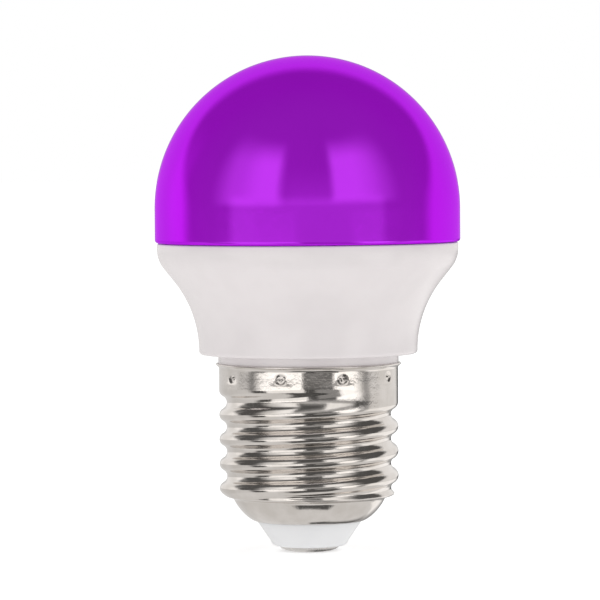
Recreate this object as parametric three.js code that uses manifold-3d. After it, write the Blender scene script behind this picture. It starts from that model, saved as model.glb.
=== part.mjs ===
// A smart light bulb: a 45 mm round bulb on a 27 mm screw cap, with its lamp engine inside.
// Millimetres, +Z up. The origin is the middle of the centre contact's face, on the bulb's axis, with the
// dome on top. Every round piece is a lathe about Z. The driver board stands upright in the neck, facing -Y.

import * as THREE from 'three';
import { mergeVertices } from 'three/addons/utils/BufferGeometryUtils.js';
import { ParametricGeometry } from 'three/addons/geometries/ParametricGeometry.js';
import Module from 'manifold-3d';

// ---------------------------------------------------------------- driving dimensions

const SIDES = 32; // of every large round piece
const SMALL_SIDES = 20; // of capacitors, screws and the like
const LEAD_SIDES = 8; // of wires

const DOME_R = 22.5;
const DOME_TOP = 73.0;
const DOME_WALL = 1.2;
const SEAM_Z = 45.5; // where the dome meets the housing

const HOUSING_TOP_R = 22.2;
const HOUSING_WAIST_R = 16.1;
const HOUSING_WALL = 1.3;
const SHOULDER_Z = 29.1; // underside of the housing
const FLARE_TURN = THREE.MathUtils.degToRad(38.5); // how far the flare leans out from upright
const FLARE_HOLLOW_R = 16.5; // the hollow curve above the waist
const FLARE_ROUND_R = 4.5; // the round curve below the seam

const CAP_CREST_R = 13.2;
const CAP_THREAD_DEPTH = 1.1;
const CAP_PITCH = 3.629;
const CAP_SHEET = 0.3;
const CAP_RIM_Z = 27.8;
const CAP_THREAD_LOW = 8.9;
const CAP_THREAD_HIGH = 25.2;
const RUN_OUT = { start: 0.5, end: 0.886 }; // in turns along the groove from +X: it grows shallower, then ends
const CAP_FLARE = 0.5; // how far the rim's lip stands out
const CREST_Z_AT_PLUS_X = 18.35; // height of one crest on the +X side
const CRIMP_COUNT = 9;
const CRIMP_Z = 25.9;
const CRIMP_R = 0.65;
const CRIMP_DEPTH = 0.9;
const CRIMP_FIRST = THREE.MathUtils.degToRad(-68); // angle of the first crimp from +X

const NECK_BORE_R = 9.9;
const NECK_FOOT_Z = 12.5;
const NEUTRAL_ANGLE = THREE.MathUtils.degToRad(222); // where the neutral wire comes out, from +X
const FLOOR_Z = 30.4; // inside the housing, above its shoulder

const LEDGE_TOP = 42.6; // of the heat sink, where the LED board is screwed down
const PAD_THICK = 0.3;
const LED_BOARD_R = 19.2;
const LED_BOARD_THICK = 1.2;
const LED_BOARD_TOP = LEDGE_TOP + PAD_THICK + LED_BOARD_THICK;
const SCREW_RING_R = 15.5;
const SCREW_HOLE_R = 1.3;

const DRIVER_FRONT_Y = -4.5;
const DRIVER_BACK_Y = -3.5;

// ---------------------------------------------------------------- colours

const finish = (color, roughness, metalness = 0) =>
  new THREE.MeshStandardMaterial({ color, roughness, metalness });

const purplePlastic = finish(0x8f12b8, 0.25);
const whitePlastic = finish(0xe4e1df, 0.35);
const nickel = finish(0xc9c3bd, 0.15, 1);
const aluminium = finish(0xb9bcc0, 0.4, 1);
const silicone = finish(0xf2f2ee, 0.6);
const greyPad = finish(0x9aa0a6, 0.8);
const whiteMask = finish(0xf4f4f0, 0.45);
const greenBoard = finish(0x1f6b3a, 0.5);
const blackBoard = finish(0x16181b, 0.5);
const phosphor = finish(0xf3d36b, 0.4);
const clearResin = finish(0xdfe6ea, 0.2);
const steel = finish(0xa7a9ab, 0.3, 1);
const tinned = finish(0xcfd2d4, 0.25, 1);
const blackPlastic = finish(0x1a1a1c, 0.45);
const darkSleeve = finish(0x1c2430, 0.35);
const yellowTape = finish(0xe8c22e, 0.4);
const yellowBox = finish(0xe5b514, 0.4);
const ferrite = finish(0x2b2b2e, 0.7);
const blueEpoxy = finish(0x1f56b0, 0.3);
const greenEpoxy = finish(0x4f8f6a, 0.45);
const redInsulation = finish(0xb3261e, 0.5);
const whiteInsulation = finish(0xe9e9e6, 0.5);

// ---------------------------------------------------------------- helpers

const wasm = await Module();
wasm.setup();

// A closed three.js geometry as a solid that can be cut and joined.
function solid(geometry) {
  const bare = geometry.clone();
  bare.deleteAttribute('normal');
  bare.deleteAttribute('uv');
  const merged = mergeVertices(bare, 1e-4);
  const triVerts = new Uint32Array(merged.index.array);
  return new wasm.Manifold(
    new wasm.Mesh({ numProp: 3, vertProperties: merged.attributes.position.array, triVerts }),
  );
}

function geometryOf(shape) {
  const mesh = shape.getMesh();
  return new THREE.BufferGeometry()
    .setAttribute('position', new THREE.BufferAttribute(mesh.vertProperties, 3))
    .setIndex(new THREE.BufferAttribute(mesh.triVerts, 1));
}

// An outline of [radius, height] points turned about Z.
function turned(outline, sides = SIDES) {
  const points = outline.map(([r, z]) => new THREE.Vector2(r, z));
  const geometry = new THREE.LatheGeometry(points, sides);
  return geometry.rotateX(Math.PI / 2).rotateZ(Math.PI / 2);
}

// A ring outline starts and ends at the same point, so that it closes on itself.
const ring = (outline, sides) => turned([...outline, outline[0]], sides);

// Points along an arc, from one angle to another, in radians.
function arc(centreR, centreZ, radius, from, to, steps) {
  return Array.from({ length: steps + 1 }, (_, i) => {
    const angle = from + ((to - from) * i) / steps;
    return [centreR + radius * Math.cos(angle), centreZ + radius * Math.sin(angle)];
  });
}

// A box from its lowest to its highest corner.
function block([x0, y0, z0], [x1, y1, z1]) {
  const box = new THREE.BoxGeometry(x1 - x0, y1 - y0, z1 - z0);
  return box.translate((x0 + x1) / 2, (y0 + y1) / 2, (z0 + z1) / 2);
}

// An upright cylinder that stands on z0.
function post(x, y, radius, z0, z1, sides = SMALL_SIDES) {
  const cylinder = new THREE.CylinderGeometry(radius, radius, z1 - z0, sides);
  return cylinder.rotateX(Math.PI / 2).translate(x, y, (z0 + z1) / 2);
}

// A round wire of the given thickness along a smooth curve through the points.
function wire(points, radius, steps) {
  const route = new THREE.CatmullRomCurve3(points.map(p => new THREE.Vector3(...p)));
  const section = new THREE.Shape();
  for (let i = 0; i < LEAD_SIDES; i++) {
    const angle = (i / LEAD_SIDES) * 2 * Math.PI;
    const corner = [radius * Math.cos(angle), radius * Math.sin(angle)];
    i ? section.lineTo(...corner) : section.moveTo(...corner);
  }
  section.closePath();
  return new THREE.ExtrudeGeometry(section, { steps, extrudePath: route, bevelEnabled: false });
}

const bulb = new THREE.Group();

function add(name, geometry, material) {
  const mesh = new THREE.Mesh(geometry, material);
  mesh.name = name;
  bulb.add(mesh);
  return mesh;
}

// ---------------------------------------------------------------- dome

// The diffuser: half a ball on a short straight skirt, with a lip that plugs into the housing.
function domeDiffuser() {
  const centreZ = DOME_TOP - DOME_R;
  const inner = DOME_R - DOME_WALL;
  const lipOuter = 20.6;
  const lipInner = 19.6;
  const edge = 0.5; // rounding at the skirt's foot
  return turned([
    [0, centreZ + inner],
    ...arc(0, centreZ, inner, Math.PI / 2, 0, 8).slice(1),
    [inner, 46.6],
    [lipInner, 45.6],
    [lipInner, 43.5],
    [lipOuter, 43.5],
    [lipOuter, SEAM_Z],
    [DOME_R - edge, SEAM_Z],
    ...arc(DOME_R - edge, SEAM_Z + edge, edge, -Math.PI / 2, 0, 2).slice(1),
    ...arc(0, centreZ, DOME_R, 0, Math.PI / 2, 10).slice(0, -1),
    [0, DOME_TOP],
  ]);
}

add('dome_diffuser', domeDiffuser(), purplePlastic);

// The silicone bead that glues the dome's lip to the housing's ledge.
add('dome_glue_bead', ring([[20.15, 43.0], [20.95, 43.0], [20.95, 43.45], [20.15, 43.45]]), silicone);

// ---------------------------------------------------------------- housing

// The flare's two curves and the straight stretch between them, moved in from the outside by an offset.
const HOLLOW_CENTRE = [HOUSING_WAIST_R + FLARE_HOLLOW_R, SHOULDER_Z + 0.5];
const ROUND_CENTRE_R = HOUSING_TOP_R - FLARE_ROUND_R;

function roundCentreZ() {
  const hollowEndR = HOLLOW_CENTRE[0] - FLARE_HOLLOW_R * Math.cos(FLARE_TURN);
  const hollowEndZ = HOLLOW_CENTRE[1] + FLARE_HOLLOW_R * Math.sin(FLARE_TURN);
  const roundStartR = ROUND_CENTRE_R + FLARE_ROUND_R * Math.cos(FLARE_TURN);
  const straight = (roundStartR - hollowEndR) / Math.tan(FLARE_TURN);
  return hollowEndZ + straight + FLARE_ROUND_R * Math.sin(FLARE_TURN);
}

function hollowCurve(offset, lowZ, steps) {
  const radius = FLARE_HOLLOW_R + offset;
  const low = Math.PI - Math.asin((lowZ - HOLLOW_CENTRE[1]) / radius);
  return arc(...HOLLOW_CENTRE, radius, low, Math.PI - FLARE_TURN, steps);
}

const roundCurve = (offset, steps) =>
  arc(ROUND_CENTRE_R, roundCentreZ(), FLARE_ROUND_R - offset, -FLARE_TURN, 0, steps);

function housing() {
  const collarR = 13.3;
  const collarFoot = 27.75;
  const spigotR = 12.5; // fills the cap above its thread
  const spigotLowR = 11.3; // inside the cap's thread
  const crimpGroove = { radius: 11.6, low: CRIMP_Z - 1.1, high: CRIMP_Z + 1.1 };
  const fillet = 0.5;
  const socketR = 21.0; // takes the dome's lip
  const ledgeR = 20.1;
  const body = solid(
    ring([
      [collarR, collarFoot],
      [collarR, SHOULDER_Z],
      ...arc(HOUSING_WAIST_R - fillet, SHOULDER_Z + fillet, fillet, -Math.PI / 2, 0, 3),
      ...hollowCurve(0, SHOULDER_Z + fillet + 0.5, 6),
      ...roundCurve(0, 3),
      [HOUSING_TOP_R, SEAM_Z - 0.3],
      [HOUSING_TOP_R - 0.3, SEAM_Z],
      [socketR, SEAM_Z],
      [socketR, 43.0],
      [ledgeR, 43.0],
      [ledgeR, 42.4],
      ...hollowCurve(HOUSING_WALL, FLOOR_Z, 5).reverse(),
      [NECK_BORE_R, FLOOR_Z],
      [NECK_BORE_R, NECK_FOOT_Z],
      [spigotLowR, NECK_FOOT_Z],
      [spigotLowR, 23.8],
      [spigotR, 23.8],
      [spigotR, crimpGroove.low],
      [crimpGroove.radius, crimpGroove.low],
      [crimpGroove.radius, crimpGroove.high],
      [spigotR, crimpGroove.high],
      [spigotR, collarFoot],
    ]),
  );
  // Two ribs on each side of the bore hold the driver board's edges.
  const rib = { inner: 7.9, outer: 9.3, low: 14, high: 28, thick: 0.9, play: 0.2 };
  const ribs = [];
  for (const side of [-1, 1]) {
    for (const y of [DRIVER_FRONT_Y - rib.play - rib.thick, DRIVER_BACK_Y + rib.play]) {
      const [x0, x1] = [side * rib.inner, side * rib.outer].sort((a, b) => a - b);
      ribs.push(solid(block([x0, y, rib.low], [x1, y + rib.thick, rib.high])));
    }
  }
  // A notch outside the neck lets the neutral wire lie against the cap.
  const notch = block([10.4, -0.8, NECK_FOOT_Z - 1], [12, 0.8, 19]).rotateZ(NEUTRAL_ANGLE);
  return geometryOf(ribs.reduce((whole, piece) => whole.add(piece), body).subtract(solid(notch)));
}

add('housing', housing(), whitePlastic);

// ---------------------------------------------------------------- heat sink and LED board

const SCREW_SPOTS = [[SCREW_RING_R, 0], [-SCREW_RING_R, 0]];

function withScrewHoles(shape, low, high) {
  const holes = SCREW_SPOTS.map(([x, y]) => solid(post(x, y, SCREW_HOLE_R, low, high, 12)));
  return holes.reduce((whole, hole) => whole.subtract(hole), shape);
}

// A spun aluminium cup that lines the flare, with a flat ledge on top for the LED board.
function heatSinkCup() {
  const gap = 0.3;
  const wall = 0.8;
  const outside = HOUSING_WALL + gap;
  const foot = FLOOR_Z + gap;
  const ledge = { inner: 12.5, outer: 19.4, under: LEDGE_TOP - wall };
  const outer = hollowCurve(outside, foot, 4);
  const inner = hollowCurve(outside + wall, foot, 4).reverse();
  const cup = ring([
    ...outer,
    [ledge.outer, LEDGE_TOP - 0.6],
    [ledge.outer, LEDGE_TOP],
    [ledge.inner, LEDGE_TOP],
    [ledge.inner, ledge.under],
    [18.1, ledge.under],
    ...inner,
  ]);
  return geometryOf(withScrewHoles(solid(cup), ledge.under - 1, LEDGE_TOP + 1));
}

add('heat_sink_cup', heatSinkCup(), aluminium);

function thermalPad() {
  const low = LEDGE_TOP;
  const high = low + PAD_THICK;
  const pad = ring([[12.8, low], [18.8, low], [18.8, high], [12.8, high]]);
  return geometryOf(withScrewHoles(solid(pad), low - 1, high + 1));
}

add('thermal_pad', thermalPad(), greyPad);

const RADIO_SLOT = { x: 5.8, y: 0.7 };
const LINK_SLOT = { x: 3.7, low: -6.4, high: -5.1 };

// The aluminium-cored LED board, with slots for the radio board and for the link pins.
function ledBoard() {
  const low = LEDGE_TOP + PAD_THICK;
  const disc = solid(post(0, 0, LED_BOARD_R, low, LED_BOARD_TOP, SIDES));
  const [under, over] = [low - 1, LED_BOARD_TOP + 1];
  const radioSlot = block([-RADIO_SLOT.x, -RADIO_SLOT.y, under], [RADIO_SLOT.x, RADIO_SLOT.y, over]);
  const linkSlot = block([-LINK_SLOT.x, LINK_SLOT.low, under], [LINK_SLOT.x, LINK_SLOT.high, over]);
  const slotted = disc.subtract(solid(radioSlot)).subtract(solid(linkSlot));
  return geometryOf(withScrewHoles(slotted, under, over));
}

add('led_board', ledBoard(), whiteMask);

// A ring of LED packages, each turned to face out from the axis. The first is half a step round from +X.
function ledRing(name, count, radius, [along, across, high], material) {
  for (let i = 0; i < count; i++) {
    const angle = ((i + 0.5) / count) * 2 * Math.PI;
    const body = block([-along / 2, -across / 2, 0], [along / 2, across / 2, high]);
    const led = add(`${name}_${i + 1}`, body, material);
    led.position.set(radius * Math.cos(angle), radius * Math.sin(angle), LED_BOARD_TOP);
    led.rotation.z = angle;
  }
}

ledRing('white_led', 8, 15, [2.8, 3.5, 0.8], phosphor);
ledRing('colour_led', 4, 9.5, [3.5, 3.5, 1.2], clearResin);

// Pan-head screws that clamp the LED board and the pad to the heat sink's ledge.
SCREW_SPOTS.forEach(([x, y], i) => {
  const head = { radius: 1.9, high: 1.3 };
  const shank = { radius: 1.0, tip: -4.6 };
  const screw = turned(
    [
      [0, shank.tip],
      [shank.radius, shank.tip + 0.8],
      [shank.radius, 0],
      [head.radius, 0],
      [head.radius, head.high * 0.5],
      [head.radius * 0.7, head.high],
      [0, head.high],
    ],
    12,
  );
  add(`board_screw_${i + 1}`, screw, steel).position.set(x, y, LED_BOARD_TOP);
});

// ---------------------------------------------------------------- links between the boards

const LINK = { pins: 5, pitch: 1.4, half: 0.25, y: -5.75, low: 36.8, high: 47.2 };

// Upright square bars in the row that the link pins stand in.
function linkBars(half, low, high) {
  return Array.from({ length: LINK.pins }, (_, i) => {
    const x = (i - (LINK.pins - 1) / 2) * LINK.pitch;
    return solid(block([x - half, LINK.y - half, low], [x + half, LINK.y + half, high]));
  });
}

// The pin strip on the driver board, whose pins pass up through the LED board.
function linkHeader() {
  const strip = solid(block([-3.8, DRIVER_FRONT_Y - 2.5, 37.6], [3.8, DRIVER_FRONT_Y, 40.1]));
  const pins = linkBars(LINK.half, LINK.low, LINK.high);
  return geometryOf(pins.reduce((whole, pin) => whole.add(pin), strip));
}

add('link_header', linkHeader(), blackPlastic);

// The socket on the LED board that the link pins slide into.
function linkSocket() {
  const play = 0.2;
  const high = LED_BOARD_TOP + 3.7;
  const socket = solid(block([-3.9, -7.0, LED_BOARD_TOP], [3.9, -4.5, high]));
  const holes = linkBars(LINK.half + play, LED_BOARD_TOP - 1, high + 1);
  return geometryOf(holes.reduce((whole, hole) => whole.subtract(hole), socket));
}

add('link_socket', linkSocket(), whitePlastic);

// The radio board stands in the middle. Its aerial end rises above the LED board into the dome.
const RADIO = { x: 5.5, y: 0.4, low: 35.2, high: 53.5 };
add('radio_board', block([-RADIO.x, -RADIO.y, RADIO.low], [RADIO.x, RADIO.y, RADIO.high]), blackBoard);
add('radio_shield', block([-4.8, RADIO.y, 36.2], [4.8, RADIO.y + 2.2, 42.0]), tinned);
add('radio_header', block([-4.5, DRIVER_BACK_Y, 35.8], [4.5, -RADIO.y, 38.3]), blackPlastic);

// ---------------------------------------------------------------- driver board and its parts

// Narrow where it stands in the neck, wide where its shoulders rest on the housing's floor.
function driverBoard() {
  const [foot, shoulder, top] = [9.0, FLOOR_Z + 0.2, 40.4];
  const [narrow, wide] = [8.5, 12.2];
  const outline = new THREE.Shape();
  outline.moveTo(-narrow, foot).lineTo(narrow, foot).lineTo(narrow, shoulder).lineTo(wide, shoulder);
  outline.lineTo(wide, top).lineTo(-wide, top).lineTo(-wide, shoulder).lineTo(-narrow, shoulder);
  outline.closePath();
  const depth = DRIVER_BACK_Y - DRIVER_FRONT_Y;
  const plate = new THREE.ExtrudeGeometry(outline, { depth, bevelEnabled: false });
  return plate.rotateX(Math.PI / 2).translate(0, DRIVER_BACK_Y, 0);
}

add('driver_board', driverBoard(), greenBoard);

// An upright electrolytic can: crimped neck near its foot, domed edge on top.
function canCapacitor(x, y, radius, foot, top) {
  const edge = 0.4;
  const outline = [
    [0, foot],
    [radius - edge, foot],
    [radius, foot + edge],
    [radius, foot + 1.2],
    [radius - edge, foot + 1.6],
    [radius, foot + 2.0],
    [radius, top - edge],
    [radius - edge, top],
    [0, top],
  ];
  return turned(outline, SMALL_SIDES).translate(x, y, 0);
}

add('bulk_capacitor', canCapacitor(-4.1, 0.55, 4.0, 8.6, 20.6), darkSleeve);
add('output_capacitor', canCapacitor(9.0, -0.3, 3.15, 31.2, 39.8), darkSleeve);

// A drum-core choke: two flanges with the winding between them.
function lineChoke() {
  const [x, y, flange, coil, low, high, lip] = [4.4, -0.45, 3.0, 2.5, 8.8, 16.6, 1.2];
  const outline = [
    [0, low],
    [flange, low],
    [flange, low + lip],
    [coil, low + lip],
    [coil, high - lip],
    [flange, high - lip],
    [flange, high],
    [0, high],
  ];
  return turned(outline, SMALL_SIDES).translate(x, y, 0);
}

add('line_choke', lineChoke(), ferrite);

// The flyback transformer: a two-window ferrite core and a taped bobbin round its middle leg.
const TRANSFORMER = { y: 0.3, z: 29.5, leg: 1.3 };

function transformerCore() {
  const half = { x: 5.2, y: 2.3, z: 4.6 };
  const window = { outer: 3.9, z: 3.1 };
  const { y, z, leg } = TRANSFORMER;
  let core = solid(block([-half.x, y - half.y, z - half.z], [half.x, y + half.y, z + half.z]));
  for (const side of [-1, 1]) {
    const [x0, x1] = [side * leg, side * window.outer].sort((a, b) => a - b);
    const opening = block([x0, y - half.y - 1, z - window.z], [x1, y + half.y + 1, z + window.z]);
    core = core.subtract(solid(opening));
  }
  return geometryOf(core);
}

function transformerBobbin() {
  const half = { x: 3.6, y: 3.8, z: 2.8 };
  const hole = { x: TRANSFORMER.leg + 0.3, y: 2.6 };
  const { y, z } = TRANSFORMER;
  const outer = solid(block([-half.x, y - half.y, z - half.z], [half.x, y + half.y, z + half.z]));
  const inner = solid(block([-hole.x, y - hole.y, z - half.z - 1], [hole.x, y + hole.y, z + half.z + 1]));
  return geometryOf(outer.subtract(inner));
}

add('transformer_core', transformerCore(), ferrite);
add('transformer_bobbin', transformerBobbin(), yellowTape);

add('film_capacitor', block([1.0, DRIVER_BACK_Y, 17.4], [7.8, 1.2, 24.2]), yellowBox);

// A disc varistor that stands beside the film capacitor.
const varistor = post(0, 0, 3.3, -1.4, 1.4).rotateX(Math.PI / 2).translate(4.2, 3.2, 20.8);
add('varistor', varistor, blueEpoxy);

// The fusible resistor in the live lead: a waisted body with a stub of lead at each end.
const FUSE = { x: 5.0, y: -6.35, low: 10.2, high: 17.8 };

function fuseResistor() {
  const { x, y, low, high } = FUSE;
  const [lead, waist, bulge, stub] = [0.35, 1.3, 1.6, 0.9];
  const outline = [
    [0, low - stub],
    [lead, low - stub],
    [lead, low],
    [bulge, low + 0.4],
    [bulge, low + 1.8],
    [waist, low + 2.4],
    [waist, high - 2.4],
    [bulge, high - 1.8],
    [bulge, high - 0.4],
    [lead, high],
    [lead, high + stub],
    [0, high + stub],
  ];
  return turned(outline, 12).translate(x, y, 0);
}

add('fuse_resistor', fuseResistor(), greenEpoxy);

// Flat packages on the board's front face.
function frontPackage(name, x, z, width, height, thick, material) {
  const [x0, z0] = [x - width / 2, z - height / 2];
  add(name, block([x0, DRIVER_FRONT_Y - thick, z0], [x0 + width, DRIVER_FRONT_Y, z0 + height]), material);
}

frontPackage('bridge_rectifier', -1.2, 15.0, 4.7, 4.0, 2.5, blackPlastic);
frontPackage('driver_chip', 0, 23.2, 4.9, 3.9, 1.5, blackPlastic);
frontPackage('output_diode', -6.0, 33.6, 4.3, 2.6, 2.3, blackPlastic);
frontPackage('regulator_chip', 6.2, 33.6, 3.0, 2.6, 1.2, blackPlastic);

// ---------------------------------------------------------------- wires

// From the centre contact's rivet to the fusible resistor.
const LIVE_ROUTE = [
  [0, 0, 4.2],
  [0.1, -0.2, 5.6],
  [1.4, -2.2, 7.2],
  [3.9, -5.0, 7.6],
  [FUSE.x, FUSE.y, 8.2],
  [FUSE.x, FUSE.y, 9.2],
];
add('live_wire', wire(LIVE_ROUTE, 0.6, 16), redInsulation);

// From the driver board, under the neck's foot and up the notch, where the cap traps it.
function neutralWire() {
  const at = (radius, z) => [radius * Math.cos(NEUTRAL_ANGLE), radius * Math.sin(NEUTRAL_ANGLE), z];
  const route = [
    [-6.4, DRIVER_FRONT_Y - 0.5, 14.6],
    [-6.3, DRIVER_FRONT_Y - 0.7, 12.6],
    at(8.9, 11.2),
    at(10.3, 11.3),
    at(10.95, 12.6),
    at(10.95, 15),
    at(10.95, 18.4),
  ];
  return wire(route, 0.4, 18);
}

add('neutral_wire', neutralWire(), whiteInsulation);

// ---------------------------------------------------------------- screw cap

// The round thread is made of equal arcs: a crest and a root that run into each other.
const ARC_R = (CAP_PITCH ** 2 / 4 + CAP_THREAD_DEPTH ** 2) / (4 * CAP_THREAD_DEPTH);

// How far the thread's surface lies below the crest, at a height and an angle.
function threadFall(z, angle) {
  const round = angle / (2 * Math.PI);
  const turns = (z - CREST_Z_AT_PLUS_X) / CAP_PITCH - round;
  const alongGroove = Math.floor(turns) + round;
  const share = 1 - THREE.MathUtils.smoothstep(alongGroove, RUN_OUT.start, RUN_OUT.end);
  const fromCrest = Math.abs(turns - Math.round(turns)) * CAP_PITCH;
  if (fromCrest < CAP_PITCH / 4) return share * (ARC_R - Math.sqrt(ARC_R ** 2 - fromCrest ** 2));
  const fromRoot = CAP_PITCH / 2 - fromCrest;
  return share * (CAP_THREAD_DEPTH - (ARC_R - Math.sqrt(ARC_R ** 2 - fromRoot ** 2)));
}

// The shell's outside as stations of radius, height and share of thread, from the foot to the rim.
function shellStations() {
  const foot = new THREE.Vector2(7.95, 4.5);
  const shelf = new THREE.Vector2(11.25, 7.95);
  const [low, high] = [new THREE.Vector2(9.0, 4.75), new THREE.Vector2(10.6, 6.4)];
  const bowl = new THREE.CubicBezierCurve(foot, low, high, shelf).getPoints(5);
  const stations = bowl.map(p => ({ r: p.x, z: p.y, thread: 0 }));
  // A quarter round carries the shelf out to the thread.
  for (const share of [0.08, 0.3, 0.62]) {
    const thread = Math.sqrt(1 - (1 - share) ** 2);
    const r = THREE.MathUtils.lerp(shelf.x, CAP_CREST_R, thread);
    stations.push({ r, z: THREE.MathUtils.lerp(shelf.y, CAP_THREAD_LOW, share), thread });
  }
  const rows = 28;
  for (let i = 0; i <= rows; i++) {
    const z = THREE.MathUtils.lerp(CAP_THREAD_LOW, CAP_THREAD_HIGH, i / rows);
    stations.push({ r: CAP_CREST_R, z, thread: 1 });
  }
  // The plain band ends in a lip that flares out under the collar.
  const flare = [[0, 1.0], [0.15, 0.6], [CAP_FLARE, 0.25], [CAP_FLARE, 0]];
  for (const [out, below] of flare) {
    stations.push({ r: CAP_CREST_R + out, z: CAP_RIM_Z - below, thread: 0 });
  }
  return stations;
}

// The inside is the outside moved in by the sheet's thickness: across the bowl, and straight in above it.
function inwards(stations) {
  return stations.map((s, i) => {
    const before = stations[Math.max(i - 1, 0)];
    const after = stations[Math.min(i + 1, stations.length - 1)];
    if (s.z > 7) return { ...s, r: s.r - CAP_SHEET };
    const along = new THREE.Vector2(after.r - before.r, after.z - before.z).normalize();
    return { ...s, r: s.r - along.y * CAP_SHEET, z: s.z + along.x * CAP_SHEET };
  });
}

function screwShell() {
  const outside = shellStations();
  const loop = [...outside, ...inwards(outside).reverse(), outside[0]];
  const steps = loop.length - 1;
  const surface = (u, v, target) => {
    const angle = u * 2 * Math.PI;
    const station = loop[Math.round(v * steps)];
    const radius = station.r - station.thread * threadFall(station.z, angle);
    target.set(radius * Math.cos(angle), radius * Math.sin(angle), station.z);
  };
  let shell = solid(new ParametricGeometry(surface, SIDES, steps));
  // Each crimp is a dent: sheet is added behind it, then the dent is cut from the front.
  for (let i = 0; i < CRIMP_COUNT; i++) {
    const angle = CRIMP_FIRST + (i / CRIMP_COUNT) * 2 * Math.PI;
    const dent = (radius, from, to) => {
      const cone = new THREE.CylinderGeometry(radius, radius / 2, to - from, 8).rotateZ(-Math.PI / 2);
      return solid(cone.translate((from + to) / 2, 0, CRIMP_Z).rotateZ(angle));
    };
    const bottom = CAP_CREST_R - CRIMP_DEPTH;
    shell = shell.add(dent(CRIMP_R + CAP_SHEET, bottom - CAP_SHEET, CAP_CREST_R - CAP_SHEET / 2));
    shell = shell.subtract(dent(CRIMP_R, bottom, CAP_CREST_R + 0.5));
  }
  return geometryOf(shell);
}

add('screw_shell', screwShell(), nickel);

// The moulded insulator: a cone below the shell's foot, and a flange that keys inside it.
function capInsulator() {
  return ring([
    [1.4, 0.75],
    [4.75, 0.75],
    [5.2, 0.85],
    [5.5, 1.15],
    [5.75, 1.5],
    [7.75, 4.4],
    [7.35, 4.4],
    [7.35, 5.5],
    [8.3, 5.5],
    [8.6, 6.8],
    [5.6, 6.8],
    [5.6, 3.2],
    [1.4, 3.2],
  ]);
}

add('cap_insulator', capInsulator(), whitePlastic);

// The centre contact: a shallow plated button with a rivet shank up through the insulator.
function centreContact() {
  return turned([
    [0, 0],
    [2.8, 0],
    [3.7, 0.15],
    [4.35, 0.42],
    [4.6, 0.75],
    [1.1, 0.75],
    [1.1, 3.9],
    [0, 3.9],
  ]);
}

add('centre_contact', centreContact(), nickel);

export default bulb;
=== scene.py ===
"""A smart light bulb, built from the inside out: driver, radio and LED boards, housing, cap, dome."""

import math

import bmesh
import bpy
from mathutils import Matrix, Vector


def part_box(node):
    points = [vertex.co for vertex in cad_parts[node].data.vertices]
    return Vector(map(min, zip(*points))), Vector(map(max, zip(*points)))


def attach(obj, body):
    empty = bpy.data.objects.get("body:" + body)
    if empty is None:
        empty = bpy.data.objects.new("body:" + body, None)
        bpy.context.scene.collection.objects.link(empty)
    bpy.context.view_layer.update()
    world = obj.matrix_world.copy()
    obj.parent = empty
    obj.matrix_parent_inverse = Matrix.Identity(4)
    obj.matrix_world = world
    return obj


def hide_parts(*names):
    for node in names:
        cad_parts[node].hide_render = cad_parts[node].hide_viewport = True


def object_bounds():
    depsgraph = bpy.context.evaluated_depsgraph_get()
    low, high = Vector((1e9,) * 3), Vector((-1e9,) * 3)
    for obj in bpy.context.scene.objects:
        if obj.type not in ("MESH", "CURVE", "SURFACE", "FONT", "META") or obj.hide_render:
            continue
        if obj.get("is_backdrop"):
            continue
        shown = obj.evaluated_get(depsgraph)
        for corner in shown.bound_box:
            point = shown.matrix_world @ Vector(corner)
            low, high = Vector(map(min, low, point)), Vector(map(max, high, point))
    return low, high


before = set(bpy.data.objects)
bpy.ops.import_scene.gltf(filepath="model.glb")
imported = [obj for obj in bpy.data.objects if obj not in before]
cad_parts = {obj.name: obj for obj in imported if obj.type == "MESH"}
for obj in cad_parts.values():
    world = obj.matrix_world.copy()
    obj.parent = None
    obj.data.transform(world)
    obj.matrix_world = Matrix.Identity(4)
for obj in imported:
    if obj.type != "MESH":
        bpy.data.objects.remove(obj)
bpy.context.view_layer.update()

MM = 0.001
# Corners closer than this, in metres, are one.
MERGE = 1e-7

# --------------------------------------------------------- driver board
# The power supply's circuit board: glass-fibre laminate under green solder mask, routed to
# a T shape. It stands upright in the neck with its shoulders on the housing's floor. Copper
# tracks, small chip parts and the solder joints of the parts behind it are on its front.


def cad_box(node_name):
    """A CAD node's lowest and highest corners, in mm."""
    return [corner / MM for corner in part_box(node_name)]


def box_body(low, high, edge=0.0, segments=2):
    """A box between two corners, in mm, with rounded edges."""
    low, high = Vector(low), Vector(high)
    body = bmesh.new()
    place = Matrix.Translation((low + high) / 2 * MM) @ Matrix.Diagonal(((high - low) * MM).to_4d())
    bmesh.ops.create_cube(body, size=1, matrix=place)
    if edge:
        round_edges(body, body.edges[:], edge, segments)
    return body


def span_body(x_ends, y_ends, z_ends, edge=0.0, segments=2):
    """A box given by its two ends along each axis, in mm and in either order."""
    return box_body(*zip(sorted(x_ends), sorted(y_ends), sorted(z_ends)), edge, segments)


def around(middle, half):
    """The two ends of a span about its middle."""
    return middle - half, middle + half


def edges_along(body, axis, along=True):
    """The edges that run along an axis (0, 1 or 2), or else those that lie across it."""
    ends = [(edge, edge.verts[0].co[axis], edge.verts[1].co[axis]) for edge in body.edges]
    return [edge for edge, start, end in ends if (abs(start - end) > 10 * MERGE) == along]


def round_edges(body, edges, width, segments=2):
    """Rounds the given edges over a width, in mm."""
    bmesh.ops.bevel(
        body,
        geom=edges,
        offset=width * MM,
        affect="EDGES",
        segments=segments,
        profile=0.5,
        material=-1,
    )


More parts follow.
